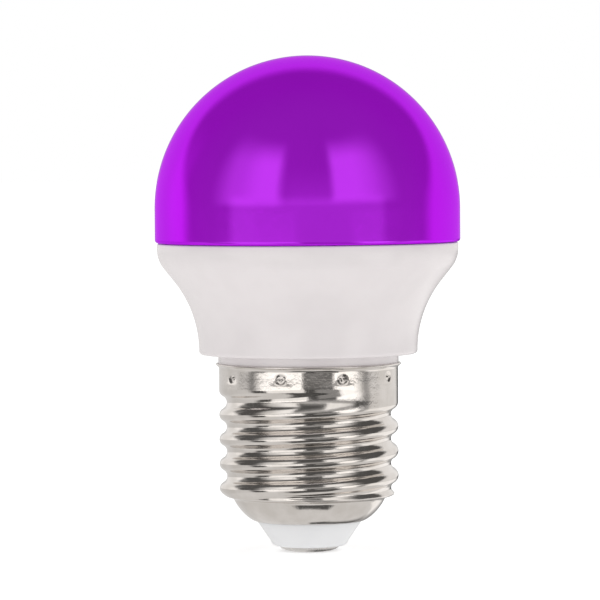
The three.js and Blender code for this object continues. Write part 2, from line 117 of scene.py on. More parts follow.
def plate_body(outline, low_y, high_y, corner=0.0):
    """An upright plate: an outline of (x, z) points, in mm, extruded along Y, with its corners rounded."""
    body = bmesh.new()
    face = body.faces.new([body.verts.new((x * MM, low_y * MM, z * MM)) for x, z in outline])
    extruded = bmesh.ops.extrude_face_region(body, geom=[face])
    verts = [item for item in extruded["geom"] if isinstance(item, bmesh.types.BMVert)]
    bmesh.ops.translate(body, verts=verts, vec=(0, (high_y - low_y) * MM, 0))
    bmesh.ops.recalc_face_normals(body, faces=body.faces)
    if corner:
        round_edges(body, edges_along(body, 1), corner, 3)
    return body


def peg_body(start, end, radius, tip=None, sides=16):
    """A round peg from one point to another, in mm, which may taper to another radius."""
    start, end = Vector(start) * MM, Vector(end) * MM
    turn = (end - start).to_track_quat("Z", "Y").to_matrix().to_4x4()
    body = bmesh.new()
    bmesh.ops.create_cone(
        body,
        cap_ends=True,
        segments=sides,
        radius1=radius * MM,
        radius2=(radius if tip is None else tip) * MM,
        depth=(end - start).length,
        matrix=Matrix.Translation((start + end) / 2) @ turn,
    )
    return body


def add_object(name, data):
    """Puts an object with its data into the scene."""
    made = bpy.data.objects.new(name, data)
    bpy.context.scene.collection.objects.link(made)
    return made


def assemble(name, bodies, sharp=35):
    """One piece made of closed bodies, each with its material. Edges sharper than the angle stay crisp."""
    data = bpy.data.meshes.new(name)
    whole = bmesh.new()
    for body, materials in bodies:
        materials = materials if isinstance(materials, tuple) else (materials,)
        for material in materials:
            if material.name not in data.materials:
                data.materials.append(material)
        slots = [data.materials.find(material.name) for material in materials]
        bmesh.ops.remove_doubles(body, verts=body.verts, dist=MERGE)
        bmesh.ops.recalc_face_normals(body, faces=body.faces)
        for face in body.faces:
            face.material_index = slots[face.material_index]
        part = bpy.data.meshes.new("part")
        body.to_mesh(part)
        body.free()
        whole.from_mesh(part)
        bpy.data.meshes.remove(part)
    whole.to_mesh(data)
    whole.free()
    data.shade_smooth()
    data.set_sharp_from_angle(angle=math.radians(sharp))
    return add_object(name, data)


def fit(piece, cad_node):
    """Mounts a piece on the bulb's one body, and hides the CAD node that it stands in for."""
    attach(piece, "root")
    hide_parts(cad_node)


def node(tree, kind, inputs=None, **settings):
    """Adds a shader node. Its inputs are numbers, colours or sockets, by name or place."""
    made = tree.nodes.new("ShaderNode" + kind)
    for name, value in settings.items():
        setattr(made, name, value)
    for name, value in (inputs or {}).items():
        if isinstance(value, bpy.types.NodeSocket):
            tree.links.new(value, made.inputs[name])
        else:
            made.inputs[name].default_value = value
    return made


def math_node(tree, operation, *values):
    """The result of a Math node fed by numbers or sockets."""
    return node(tree, "Math", dict(enumerate(values)), operation=operation).outputs[0]


def blend_range(tree, value, low, high, start=0.0, end=1.0):
    """A value carried smoothly from one range to another."""
    inputs = {"Value": value, "From Min": low, "From Max": high, "To Min": start, "To Max": end}
    return node(tree, "MapRange", inputs, interpolation_type="SMOOTHSTEP").outputs["Result"]


def new_group(name, inputs, outputs):
    """A node group with named sockets: its tree, what it is given and what it gives."""
    group = bpy.data.node_groups.new(name, "ShaderNodeTree")
    for label, kind in inputs.items():
        group.interface.new_socket(label, in_out="INPUT", socket_type="NodeSocket" + kind)
    for label, kind in outputs.items():
        group.interface.new_socket(label, in_out="OUTPUT", socket_type="NodeSocket" + kind)
    return group, group.nodes.new("NodeGroupInput").outputs, group.nodes.new("NodeGroupOutput").inputs


# Soft patches of two tones, uneven gloss, and a finer grain that stands up from the surface.
mottle, given, gives = new_group(
    "mottled_surface",
    {"Dark": "Color", "Light": "Color", "Roughness": "Float", "Spread": "Float", "Scale": "Float"},
    {"Color": "Color", "Roughness": "Float", "Height": "Float"},
)
GRAIN_TO_PATCH = 8.0
place = node(mottle, "TexCoord").outputs["Object"]
noise = node(mottle, "TexNoise", {"Vector": place, "Scale": given["Scale"], "Detail": 3.0}).outputs[0]
patches = blend_range(mottle, noise, 0.32, 0.68)
finer = math_node(mottle, "MULTIPLY", given["Scale"], GRAIN_TO_PATCH)
grain = node(mottle, "TexNoise", {"Vector": place, "Scale": finer, "Detail": 2.0}).outputs[0]
tone = node(mottle, "Mix", {0: patches, 6: given["Dark"], 7: given["Light"]}, data_type="RGBA").outputs[2]
uneven = math_node(mottle, "SUBTRACT", patches, 0.5)
mottle.links.new(tone, gives["Color"])
mottle.links.new(
    math_node(mottle, "MULTIPLY_ADD", uneven, given["Spread"], given["Roughness"]), gives["Roughness"]
)
mottle.links.new(grain, gives["Height"])


def use_group(tree, group, **values):
    """Places a node group in a material with its own values. Scales are per mm."""
    made = tree.nodes.new("ShaderNodeGroup")
    made.node_tree = group
    for name, value in values.items():
        made.inputs[name].default_value = value / MM if name == "Scale" else value
    return made


def finish(name, dark, light, roughness, spread=0.1, scale=0.4, relief=0.004, metallic=0.0, **plain):
    """A material with mottled colour and gloss, and grain. Relief is in mm, and scale is patches per mm."""
    material = bpy.data.materials.new(name)
    material.use_nodes = True
    tree = material.node_tree
    shader = tree.nodes["Principled BSDF"]
    shader.inputs["Metallic"].default_value = metallic
    for socket, value in plain.items():
        shader.inputs[socket.replace("_", " ")].default_value = value
    tones = {"Dark": (*dark, 1), "Light": (*light, 1)}
    skin = use_group(tree, mottle, **tones, Roughness=roughness, Spread=spread, Scale=scale)
    tree.links.new(skin.outputs["Color"], shader.inputs["Base Color"])
    tree.links.new(skin.outputs["Roughness"], shader.inputs["Roughness"])
    bump = node(tree, "Bump", {"Height": skin.outputs["Height"], "Distance": relief * MM})
    tree.links.new(bump.outputs["Normal"], shader.inputs["Normal"])
    return material


def add_relief(material, group, scale, depth):
    """Adds a group's height as another layer of bump, its depth in mm, over a material's grain."""
    tree = material.node_tree
    shader = tree.nodes["Principled BSDF"]
    height = use_group(tree, group, Scale=scale).outputs["Height"]
    below = shader.inputs["Normal"].links[0].from_socket
    bump = node(tree, "Bump", {"Height": height, "Distance": depth * MM, "Normal": below})
    tree.links.new(bump.outputs["Normal"], shader.inputs["Normal"])


# The cloth in a glass-fibre laminate: crossing threads that show faintly through the solder mask.
weave, given, gives = new_group("glass_weave", {"Scale": "Float"}, {"Height": "Float"})
place = node(weave, "TexCoord").outputs["Object"]
threads = []
for direction in ("X", "Z"):
    bands = node(weave, "TexWave", {"Vector": place, "Scale": given["Scale"], "Distortion": 0.4})
    bands.bands_direction = direction
    threads.append(bands.outputs["Fac"])
weave.links.new(math_node(weave, "MAXIMUM", *threads), gives["Height"])

green_mask = finish("green_solder_mask", (0.008, 0.10, 0.035), (0.015, 0.17, 0.06), 0.34, scale=0.25)
add_relief(green_mask, weave, 0.35, 0.008)
masked_copper = finish("copper_under_mask", (0.02, 0.20, 0.06), (0.03, 0.26, 0.09), 0.3, scale=0.6)
solder = finish("solder", (0.62, 0.62, 0.63), (0.78, 0.78, 0.79), 0.22, scale=0.8, relief=0.01, metallic=1.0)
ceramic = finish("chip_ceramic", (0.42, 0.30, 0.20), (0.55, 0.42, 0.30), 0.5, scale=1.5)

low, high = cad_box("driver_board")
neck_half, shoulder_z = 8.5, 30.6
half_outline = [(neck_half, low.z), (neck_half, shoulder_z), (high.x, shoulder_z), (high.x, high.z)]
outline = half_outline + [(-x, z) for x, z in reversed(half_outline)]
bodies = [(plate_body(outline, low.y, high.y, 0.35), green_mask)]

# Tracks on the front, each from one point to another with its width.
TRACKS = [
    ((-6.4, 10.0), (-6.4, 16.0), 1.1),
    ((-6.4, 16.0), (-4.4, 16.0), 1.0),
    ((-2.4, 10.0), (-2.4, 12.2), 1.0),
    ((2.6, 9.9), (2.6, 13.8), 0.9),
    ((2.6, 13.8), (1.9, 13.8), 0.9),
    ((7.5, 9.9), (7.5, 19.4), 0.9),
    ((1.9, 19.4), (1.9, 21.0), 0.6),
    ((-7.2, 19.0), (-7.2, 28.0), 0.5),
    ((-7.2, 24.6), (-3.6, 24.6), 0.4),
    ((3.6, 24.6), (7.2, 24.6), 0.4),
    ((4.6, 26.6), (4.6, 30.8), 0.7),
    ((-4.6, 26.6), (-4.6, 30.8), 0.7),
    ((-9.4, 33.6), (-9.4, 38.2), 1.2),
    ((8.8, 33.6), (11.0, 33.6), 0.8),
    ((-9.4, 38.2), (-4.4, 38.2), 0.8),
]
COPPER_HIGH = 0.06
# Tracks across stand less high, so that no two faces lie in one plane where tracks cross.
CROSS_SHARE = 0.7
for (x0, z0), (x1, z1), width in TRACKS:
    half = width / 2
    x_ends = min(x0, x1) - half, max(x0, x1) + half
    z_ends = min(z0, z1) - half, max(z0, z1) + half
    above = COPPER_HIGH if x0 == x1 else CROSS_SHARE * COPPER_HIGH
    bodies.append((span_body(x_ends, around(low.y, above), z_ends), masked_copper))

# The radio board's six pins stand in a row across the board.
RADIO_PINS = [(i - 2.5) * 1.5 for i in range(6)]
# The solder joints of the parts that stand behind the board.
JOINTS = [(-6.4, 10.0), (-2.4, 10.0), (2.6, 9.9), (7.5, 9.9)]
JOINTS += [(2.6, 18.9), (7.5, 19.4), (2.6, 21.2), (7.5, 22.4)]
JOINTS += [(side * 4.6, z) for side in (-1, 1) for z in (26.6, 28.7, 30.8)]
JOINTS += [(8.0, 36.6), (10.6, 36.6)] + [(x, 36.5) for x in RADIO_PINS]
# A joint is a flat land, a cone of solder and the lead's end. Each starts and ends at a height off the
# board, and has two radii.
JOINT_STEPS = [(-0.02, 0.1, 0.8, 0.8), (0.08, 0.6, 0.68, 0.28), (0.5, 0.95, 0.25, 0.16)]
for x, z in JOINTS:
    for start, end, radius, tip in JOINT_STEPS:
        bodies.append((peg_body((x, low.y - start, z), (x, low.y - end, z), radius, tip), solder))


def chip_part(x, z, face_y, out, half, tall, half_wide, end):
    """A chip resistor or capacitor on a board's face: a ceramic body between two tinned ends."""
    # The body is given by half its length, its height and half its width.
    end_long, end_tall, end_edge = end
    middle = span_body(around(x, half), (face_y, face_y + out * tall), around(z, half_wide), 0.05)
    parts = [(middle, ceramic)]
    for side in (-1, 1):
        x_ends = x + side * (half - 0.1), x + side * (half - 0.1 + end_long)
        y_ends = face_y, face_y + out * end_tall
        parts.append((span_body(x_ends, y_ends, around(z, half_wide + 0.03), end_edge), solder))
    return parts


CHIP_PARTS = [(-5.4, 19.6), (-5.4, 21.4), (-5.0, 27.9), (0.0, 27.4)]
CHIP_PARTS += [(2.9, 27.4), (-0.6, 31.2), (2.0, 33.8), (10.3, 38.4)]
for x, z in CHIP_PARTS:
    bodies += chip_part(x, z, low.y, -1, 0.6, 0.5, 0.4, (0.35, 0.55, 0.08))

fit(assemble("driver_circuit_board", bodies), "driver_board")

# ---------------------------------------------------- driver's packages
# The bridge rectifier, the driver chip, the regulator and the output diode: black moulding compound round a
# tinned lead frame, with a parting line at the leads' height. They are soldered flat to the board's front.


def lead_body(edge, out, along, width, seat_y, middle_y, upright):
    """A bent flat lead, in mm. It leaves the body's edge at mid height and drops to the board."""
    path = [(edge - 0.2 * out, middle_y), (edge + 0.3 * out, middle_y), (edge + 0.48 * out, seat_y - 0.12)]
    path.append((edge + 0.95 * out, seat_y - 0.1))
    body = bmesh.new()
    corners = [(u, y, along - width / 2) for u, y in path]
    if upright:
        corners = [(v, y, u) for u, y, v in corners]
    verts = [body.verts.new(Vector(corner) * MM) for corner in corners]
    edges = [body.edges.new(pair) for pair in zip(verts, verts[1:])]
    pulled = bmesh.ops.extrude_edge_only(body, edges=edges)
    moved = [item for item in pulled["geom"] if isinstance(item, bmesh.types.BMVert)]
    bmesh.ops.translate(body, verts=moved, vec=Vector((width, 0, 0) if upright else (0, 0, width)) * MM)
    bmesh.ops.recalc_face_normals(body, faces=body.faces)
    bmesh.ops.solidify(body, geom=body.faces[:], thickness=0.15 * MM)
    return body


chip_black = finish(
    "moulding_compound", (0.012, 0.012, 0.013), (0.03, 0.03, 0.032), 0.5, scale=1.2, relief=0.012
)
tinned_lead = finish("tinned_lead", (0.60, 0.60, 0.61), (0.74, 0.74, 0.75), 0.3, scale=1.5, metallic=1.0)

PACKAGES = {
    "bridge_rectifier": {"count": (2, 2), "pitch": 2.4, "width": 0.8, "upright": False},
    "driver_chip": {"count": (4, 4), "pitch": 1.0, "width": 0.42, "upright": False},
    "regulator_chip": {"count": (3, 2), "pitch": 0.95, "width": 0.4, "upright": True},
    "output_diode": {"count": (1, 1), "pitch": 0.0, "width": 1.5, "upright": False},
}
# The two halves of the mould leave a fine step round the middle.
MOULD_STEP = 0.06
for package, leads in PACKAGES.items():
    low, high = cad_box(package)
    middle = (low + high) / 2
    x_ends, z_ends = (low.x + MOULD_STEP, high.x - MOULD_STEP), (low.z + MOULD_STEP, high.z - MOULD_STEP)
    top = span_body(x_ends, (low.y, middle.y), z_ends, 0.12)
    foot = box_body((low.x, middle.y - 0.08, low.z), (high.x, high.y - 0.1, high.z), 0.08)
    dot_x, dot_z = low.x + 0.7, high.z - 0.7
    dot = peg_body((dot_x, low.y + 0.05, dot_z), (dot_x, low.y - 0.02, dot_z), 0.28)
    bodies = [(top, chip_black), (foot, chip_black), (dot, chip_black)]
    upright = leads["upright"]
    near, far, centre = (low.z, high.z, middle.x) if upright else (low.x, high.x, middle.z)
    for edge, out, count in ((near, -1, leads["count"][0]), (far, 1, leads["count"][1])):
        # Where an upright package has two leads, they stand where the outer ones of three would.
        pitch = leads["pitch"] * (2 if count == 2 and upright else 1)
        for i in range(count):
            along = centre + (i - (count - 1) / 2) * pitch
            lead = lead_body(edge, out, along, leads["width"], high.y, middle.y, upright)
            bodies.append((lead, tinned_lead))
    fit(assemble("moulded_" + package, bodies), package)

# ------------------------------------------------------- can capacitors
# Electrolytic capacitors: an aluminium can in a printed shrink sleeve,
# rolled in near its foot to grip a rubber bung, with a vent cross scored
# in its end. The big one smooths the mains, and the small one the output.


def arc(centre_r, centre_z, radius, start, end, steps):
    """Points along an arc from one angle to another, in degrees."""
    angles = [math.radians(start + (end - start) * i / steps) for i in range(steps + 1)]
    return [(centre_r + radius * math.cos(a), centre_z + radius * math.sin(a)) for a in angles]


def bezier(points, steps):
    """Points along a quadratic or cubic curve."""
    places = []
    for i in range(steps + 1):
        row, share = list(points), i / steps
        while len(row) > 1:
            row = [(a[0] + (b[0] - a[0]) * share, a[1] + (b[1] - a[1]) * share) for a, b in zip(row, row[1:])]
        places.append(row[0])
    return places


def soften(outline, radius, steps=3):
    """An outline whose corners off the axis are rounded."""
    rounded = []
    for i, corner in enumerate(outline):
        before, after = outline[i - 1], outline[(i + 1) % len(outline)]
        if corner[0] < 1e-6:
            rounded.append(corner)
            continue
        ends = []
        for other in (before, after):
            away = Vector(other) - Vector(corner)
            ends.append(tuple(Vector(corner) + away.normalized() * min(radius, away.length * 0.45)))
        rounded += bezier([ends[0], corner, ends[1]], steps)
    return rounded


def turned_body(outline, sides=64, place=(0, 0), ring=True):
    """An outline of (radius, height) points, in mm, turned about an upright axis. A ring's outline closes."""
    body = bmesh.new()
    verts = [body.verts.new((r * MM, 0, z * MM)) for r, z in outline]
    edges = [body.edges.new(pair) for pair in zip(verts, verts[1:])]
    if ring:
        edges.append(body.edges.new((verts[-1], verts[0])))
    bmesh.ops.spin(
        body,
        geom=verts + edges,
        axis=(0, 0, 1),
        cent=(0, 0, 0),
        steps=sides,
        angle=2 * math.pi,
        use_merge=True,
    )
    bmesh.ops.remove_doubles(body, verts=body.verts, dist=MERGE)
    bmesh.ops.recalc_face_normals(body, faces=body.faces)
    bmesh.ops.translate(body, verts=body.verts, vec=Vector((*place, 0)) * MM)
    return body


def carve(body, tool, operation="DIFFERENCE"):
    """A body cut by a tool's shape, or joined to it, with an exact Boolean."""
    holders = []
    for shape in (body, tool):
        bmesh.ops.recalc_face_normals(shape, faces=shape.faces)
        data = bpy.data.meshes.new("holder")
        shape.to_mesh(data)
        shape.free()
        holders.append(add_object("holder", data))
    modifier = holders[0].modifiers.new("carve", "BOOLEAN")
    modifier.object = holders[1]
    modifier.operation = operation
    modifier.solver = "EXACT"
    graph = bpy.context.evaluated_depsgraph_get()
    data = bpy.data.meshes.new_from_object(holders[0].evaluated_get(graph))
    carved = bmesh.new()
    carved.from_mesh(data)
    bpy.data.meshes.remove(data)
    for holder in holders:
        bpy.data.meshes.remove(holder.data)
    return carved


def wire_body(route, radius, bends=8):
    """A round wire that bends smoothly along a route of points, in mm."""
    curve = bpy.data.curves.new("wire", "CURVE")
    curve.dimensions = "3D"
    curve.bevel_depth = radius * MM
    curve.bevel_resolution = 3
    curve.resolution_u = bends
    curve.use_fill_caps = True
    spline = curve.splines.new("NURBS")
    spline.points.add(len(route) - 1)
    for point, spot in zip(spline.points, route):
        point.co = (*(Vector(spot) * MM), 1)
    spline.order_u = 3
    spline.use_endpoint_u = True
    holder = bpy.data.objects.new("wire", curve)
    data = bpy.data.meshes.new_from_object(holder)
    body = bmesh.new()
    body.from_mesh(data)
    bpy.data.curves.remove(curve)
    bpy.data.meshes.remove(data)
    bmesh.ops.remove_doubles(body, verts=body.verts, dist=MERGE)
    return body


sleeve_dark = finish("shrink_sleeve", (0.010, 0.016, 0.032), (0.020, 0.030, 0.055), 0.28, scale=0.3)
sleeve_stripe = finish("sleeve_stripe", (0.36, 0.38, 0.40), (0.46, 0.48, 0.50), 0.3, scale=0.3)
can_aluminium = finish("can_aluminium", (0.66, 0.66, 0.67), (0.78, 0.78, 0.79), 0.3, scale=0.5, metallic=1.0)
bung_rubber = finish("bung_rubber", (0.012, 0.012, 0.012), (0.03, 0.03, 0.03), 0.75, scale=0.8, relief=0.02)

CAPACITORS = {"bulk_capacitor": 1.9, "output_capacitor": 1.25}
board_y = cad_box("driver_board")[0].y
for capacitor, lead_gap in CAPACITORS.items():
    low, high = cad_box(capacitor)
    radius = (high.x - low.x) / 2
    x, y = (low.x + high.x) / 2, (low.y + high.y) / 2
    sleeve_in, wall_in = radius - 0.9, radius - 0.7
    outline = [(sleeve_in, low.z + 0.1), (radius - 0.2, low.z + 0.1), (radius, low.z + 0.7)]
    # The groove rolled in near the foot.
    outline += [(radius, low.z + 1.3), (radius - 0.4, low.z + 1.7), (radius, low.z + 2.1)]
    outline += [(radius, high.z - 0.4), (radius - 0.4, high.z), (sleeve_in, high.z)]
    outline += [(sleeve_in, high.z - 0.25), (wall_in, high.z - 0.25)]
    outline += [(wall_in, low.z + 0.3), (sleeve_in, low.z + 0.3)]
    sleeve = turned_body(soften(outline, 0.25), 72, (x, y))
    # A pale stripe down the sleeve marks the negative lead.
    for face in sleeve.faces:
        spot = face.calc_center_median() / MM
        bearing = math.degrees(math.atan2(spot.y - y, spot.x - x))
        face.material_index = int(abs(bearing - 130) < 20)
    end_r, bung_r = radius - 0.72, sleeve_in - 0.1
    outline = [(0, high.z - 1), (end_r, high.z - 1), (end_r, high.z - 0.28)]
    outline += [(sleeve_in, high.z - 0.12), (0, high.z - 0.12)]
    end = turned_body(soften(outline, 0.1), 48, (x, y), ring=False)
    for half_x, half_y in ((radius * 0.5, 0.09), (0.09, radius * 0.5)):
        end = carve(end, span_body(around(x, half_x), around(y, half_y), (high.z - 0.22, high.z + 0.1)))
    outline = [(0, low.z), (bung_r, low.z), (bung_r, low.z + 1), (0, low.z + 1)]
    bung = turned_body(soften(outline, 0.15), 48, (x, y), ring=False)
    bodies = [(sleeve, (sleeve_dark, sleeve_stripe)), (end, can_aluminium), (bung, bung_rubber)]
    # The big one's leads turn up the board's front, and the small one's meet the board's edge.
    if capacitor == "bulk_capacitor":
        bend_z, bend_y, seat = low.z - 0.5, board_y - 0.7, (board_y - 0.7, low.z + 1.4)
    else:
        bend_z, bend_y, seat = low.z - 0.35, high.y - 6.45, (board_y + 0.9, low.z - 0.2)
    for lead_x in around(x, lead_gap):
        route = [(lead_x, y, low.z + 0.2), (lead_x, y, bend_z), (lead_x, bend_y, bend_z), (lead_x, *seat)]
        bodies.append((wire_body(route, 0.25), tinned_lead))
    fit(assemble("sleeved_" + capacitor, bodies), capacitor)

# ----------------------------------------------------------- line choke
# The mains filter's choke: a pressed ferrite drum with
# enamelled copper wire wound between its flanges, varnished.

ferrite = finish("pressed_ferrite", (0.030, 0.030, 0.033), (0.075, 0.075, 0.08), 0.62, scale=1.0, relief=0.03)
enamel_copper = finish(
    "enamelled_copper", (0.52, 0.17, 0.05), (0.72, 0.27, 0.09), 0.28, scale=1.2, metallic=1.0, Coat_Weight=0.5
)

low, high = cad_box("line_choke")
flange_r = (high.x - low.x) / 2
x, y = (low.x + high.x) / 2, (low.y + high.y) / 2
flange_high, core_r, wound_r, turns = 1.2, 1.4, 2.1, 11
drum = [(0, low.z), (flange_r, low.z), (flange_r, low.z + flange_high), (core_r, low.z + flange_high)]
drum += [(core_r, high.z - flange_high), (flange_r, high.z - flange_high), (flange_r, high.z), (0, high.z)]
wound_low, wound_high = low.z + flange_high + 0.05, high.z - flange_high - 0.05
wire_r = (wound_high - wound_low) / turns / 2
winding = [(core_r + 0.02, wound_low), (wound_r, wound_low)]
for i in range(turns):
    winding += arc(wound_r, wound_low + wire_r * (2 * i + 1), wire_r, -80, 80, 6)
winding += [(wound_r, wound_high), (core_r + 0.02, wound_high)]
bodies = [(turned_body(soften(drum, 0.2), 64, (x, y), ring=False), ferrite)]
bodies.append((turned_body(winding, 64, (x, y)), enamel_copper))
# The mains filter's parts have their leads at the same two places across the board.
FILTER_LEADS = (2.6, 7.0)
for lead_x in FILTER_LEADS:
    route = [(x + (lead_x - x) * 0.8, y - 1.3, low.z + flange_high + 0.4), (lead_x, y - 2.75, low.z + 1.5)]
    route += [(lead_x, y - 2.9, low.z + 0.9), (lead_x, -3.45, low.z + 0.9)]
    bodies.append((wire_body(route, 0.16), enamel_copper))
fit(assemble("wound_choke", bodies, 50), "line_choke")

# ---------------------------------------------------------- transformer
# The flyback transformer: two E-shaped ferrite halves butted together round a moulded
# bobbin. The winding is wrapped in yellow polyester tape, and its ends are soldered to pins.

yellow_tape = finish(
    "polyester_tape", (0.62, 0.36, 0.012), (0.80, 0.50, 0.03), 0.26, scale=0.35, relief=0.006
)
bobbin_black = finish(
    "moulded_phenolic", (0.018, 0.016, 0.014), (0.04, 0.036, 0.03), 0.45, scale=0.8, relief=0.01
)

low, high = cad_box("transformer_core")
mid_z = (low.z + high.z) / 2
window_out, window_in, yoke, joint = 3.9, 1.3, 1.5, 0.03
bodies = []
for end_z, out in ((low.z, -1), (high.z, 1)):
    near, back = mid_z + out * joint, end_z - out * yoke
    half_e = [(high.x, end_z), (high.x, near), (window_out, near), (window_out, back)]
    half_e += [(window_in, back), (window_in, near)]
    outline = half_e + [(-px, pz) for px, pz in reversed(half_e)]
    half = plate_body(outline, low.y, high.y)
    round_edges(half, half.edges[:], 0.15)
    bodies.append((half, ferrite))
fit(assemble("ferrite_core", bodies), "transformer_core")

low, high = cad_box("transformer_bobbin")
mid_y = (low.y + high.y) / 2
hole_x, hole_y, flange = 1.45, 2.45, 0.45


def sleeve_body(half_x, half_y, low_z, high_z, corner, edge):
    """A rounded box round the transformer's middle leg, with the leg's hole through it."""
    body = span_body(around(0, half_x), around(mid_y, half_y), (low_z, high_z))
    round_edges(body, edges_along(body, 2), corner, 5)
    round_edges(body, edges_along(body, 2, False), edge)
    return carve(body, span_body(around(0, hole_x), around(mid_y, hole_y), (low_z - 1, high_z + 1)))


bodies = []
for low_z, high_z in ((low.z, low.z + flange), (high.z - flange, high.z)):
    bodies.append((sleeve_body(high.x, high.y - mid_y, low_z, high_z, 0.4, 0.1), bobbin_black))
# The outer wrap of tape hides the winding. It lies in from the flanges' edges and clear of their faces.
tape_in, tape_gap = 0.16, 0.185
tape_x, tape_y = high.x - tape_in, high.y - mid_y - tape_in
tape = sleeve_body(tape_x, tape_y, low.z + flange + tape_gap, high.z - flange - tape_gap, 1.3, 0.06)
bodies.append((tape, yellow_tape))
for pin_x in (-2.9, 2.9):
    for pin_z in (low.z + 0.22, high.z - 0.22):
        pin = peg_body((pin_x, low.y + 0.3, pin_z), (pin_x, low.y - 0.1, pin_z), 0.3)
        bodies.append((pin, tinned_lead))
fit(assemble("taped_bobbin", bodies), "transformer_bobbin")

# ------------------------------------------------------- film capacitor
# The mains filter capacitor: a wound film in a moulded
# yellow box, filled with epoxy on the side by the board.

box_yellow = finish(
    "moulded_yellow_box", (0.66, 0.37, 0.012), (0.78, 0.46, 0.02), 0.33, scale=0.5, relief=0.006
)
epoxy_fill = finish("epoxy_fill", (0.52, 0.40, 0.22), (0.62, 0.50, 0.30), 0.4, scale=0.7, relief=0.02)

low, high = cad_box("film_capacitor")
shell_box = box_body(low, high, 0.45, 4)
rim, gap = 0.5, 0.02
recess = span_body((low.x + rim, high.x - rim), (low.y - 1, low.y + 0.6), (low.z + rim, high.z - rim), 0.3)
x_ends, z_ends = (low.x + rim + gap, high.x - rim - gap), (low.z + rim + gap, high.z - rim - gap)
filling = span_body(x_ends, (low.y + 0.25, low.y + 0.6 - gap), z_ends, 0.12)
bodies = [(carve(shell_box, recess), box_yellow), (filling, epoxy_fill)]
lead_z = (low.z + high.z) / 2
for lead_x in FILTER_LEADS:
    lead = peg_body((lead_x, low.y + 0.3, lead_z), (lead_x, low.y - 0.05, lead_z), 0.28)
    bodies.append((lead, tinned_lead))
fit(assemble("boxed_film_capacitor", bodies), "film_capacitor")

# ------------------------------------------------------------- varistor
# The surge protector: a pressed disc dipped in blue
# epoxy, which runs a little way down its two leads.

blue_epoxy = finish("dipped_epoxy", (0.010, 0.075, 0.34), (0.02, 0.12, 0.50), 0.2, scale=0.5, relief=0.025)

low, high = cad_box("varistor")
disc_r, half_thick = (high.x - low.x) / 2, (high.y - low.y) / 2
centre = (low + high) / 2
outline = [(0, -half_thick), (disc_r * 0.72, -half_thick)]
outline += arc(disc_r - half_thick * 0.85, 0, half_thick * 0.85, -70, 70, 8)
outline += [(disc_r * 0.72, half_thick), (0, half_thick)]
disc = turned_body(outline, 64, ring=False)
on_edge = Matrix.Translation(centre * MM) @ Matrix.Rotation(math.radians(90), 4, "X")
bmesh.ops.transform(disc, matrix=on_edge, verts=disc.verts)
bodies = [(disc, blue_epoxy)]
for lead_x in around(centre.x, 1.9):
    top = (lead_x, centre.y, low.z + 1.2)
    route = [top, (lead_x, centre.y, low.z - 0.45)]
    route += [(lead_x, lead_y, low.z - 0.55) for lead_y in (centre.y - 3, -3.4)]
    bodies.append((wire_body(route, 0.2), tinned_lead))
    bodies.append((peg_body(top, (lead_x, centre.y, low.z - 0.2), 0.6, 0.24), blue_epoxy))
fit(assemble("dipped_varistor", bodies, 50), "varistor")

# ----------------------------------------------------- fusible resistor
# A wire-wound resistor under green flameproof coating, with end caps that bulge and
# colour rings. It stands off the board in the live lead, and opens if the driver fails.

green_coat = finish("flameproof_coating", (0.10, 0.27, 0.17), (0.15, 0.36, 0.23), 0.5, scale=1.0, relief=0.02)
RING_COLOURS = [
    (0.30, 0.12, 0.03),
    (0.02, 0.02, 0.02),
    (0.02, 0.02, 0.02),
    (0.55, 0.38, 0.08),
    (0.75, 0.75, 0.72),
]
rings = [
    finish(f"colour_ring_{i + 1}", tuple(c * 0.8 for c in colour), colour, 0.4, scale=1.0)
    for i, colour in enumerate(RING_COLOURS)
]

low, high = cad_box("fuse_resistor")
x, y = (low.x + high.x) / 2, (low.y + high.y) / 2
bulge_r, waist_r, stub = (high.x - low.x) / 2, 1.3, 0.9
foot, top = low.z + stub, high.z - stub
outline = [(0, foot), (bulge_r, foot), (bulge_r, foot + 2.0), (waist_r, foot + 2.6), (waist_r, top - 2.6)]
outline += [(bulge_r, top - 2.0), (bulge_r, top), (0, top)]
body = turned_body(soften(outline, 0.6, 6), 48, (x, y), ring=False)
bmesh.ops.subdivide_edges(body, edges=[e for e in body.edges if e.calc_length() > 1.2 * MM], cuts=11)
for face in body.faces:
    along = (face.calc_center_median().z / MM - foot - 1.0) / (top - foot - 2.0) * 4
    if -0.2 < along < 4.2 and abs(along - round(along)) < 0.24:
        face.material_index = 1 + round(along)
bodies = [(body, (green_coat, *rings))]
bend_z = top + stub + 0.5
foot_route = [(x, y, foot + 0.4), (x, y, foot - stub)]
top_route = [(x, y, top - 0.4), (x, y, bend_z), (x, y + 1.0, bend_z), (x, -4.6, bend_z)]
bodies += [(wire_body(route, 0.35), tinned_lead) for route in (foot_route, top_route)]
fit(assemble("coated_fuse_resistor", bodies, 50), "fuse_resistor")

# ---------------------------------------------------------- pin headers
# Square brass pins, tinned, in strips of black nylon with a notch between pins. The link
# header carries power up to the LED board, and the radio header holds the radio board.

nylon_black = finish(
    "black_nylon", (0.014, 0.014, 0.016), (0.035, 0.035, 0.038), 0.42, scale=0.9, relief=0.01
)
pin_metal = finish("tinned_pin", (0.66, 0.62, 0.52), (0.78, 0.74, 0.62), 0.25, scale=1.5, metallic=1.0)


def strip_bodies(low, high, count):
    """The strip of a pin header: one bevelled block for each pin, joined by a web."""
    step = (high.x - low.x) / count
    web = box_body(low + Vector((0.2, 0.15, 0.15)), high - Vector((0.2, 0.1, 0.15)))
    strip = [(web, nylon_black)]
    for i in range(count):
        x_ends = low.x + i * step + 0.03, low.x + (i + 1) * step - 0.03
        strip.append((span_body(x_ends, (low.y, high.y), (low.z, high.z), 0.25, 1), nylon_black))
    return strip


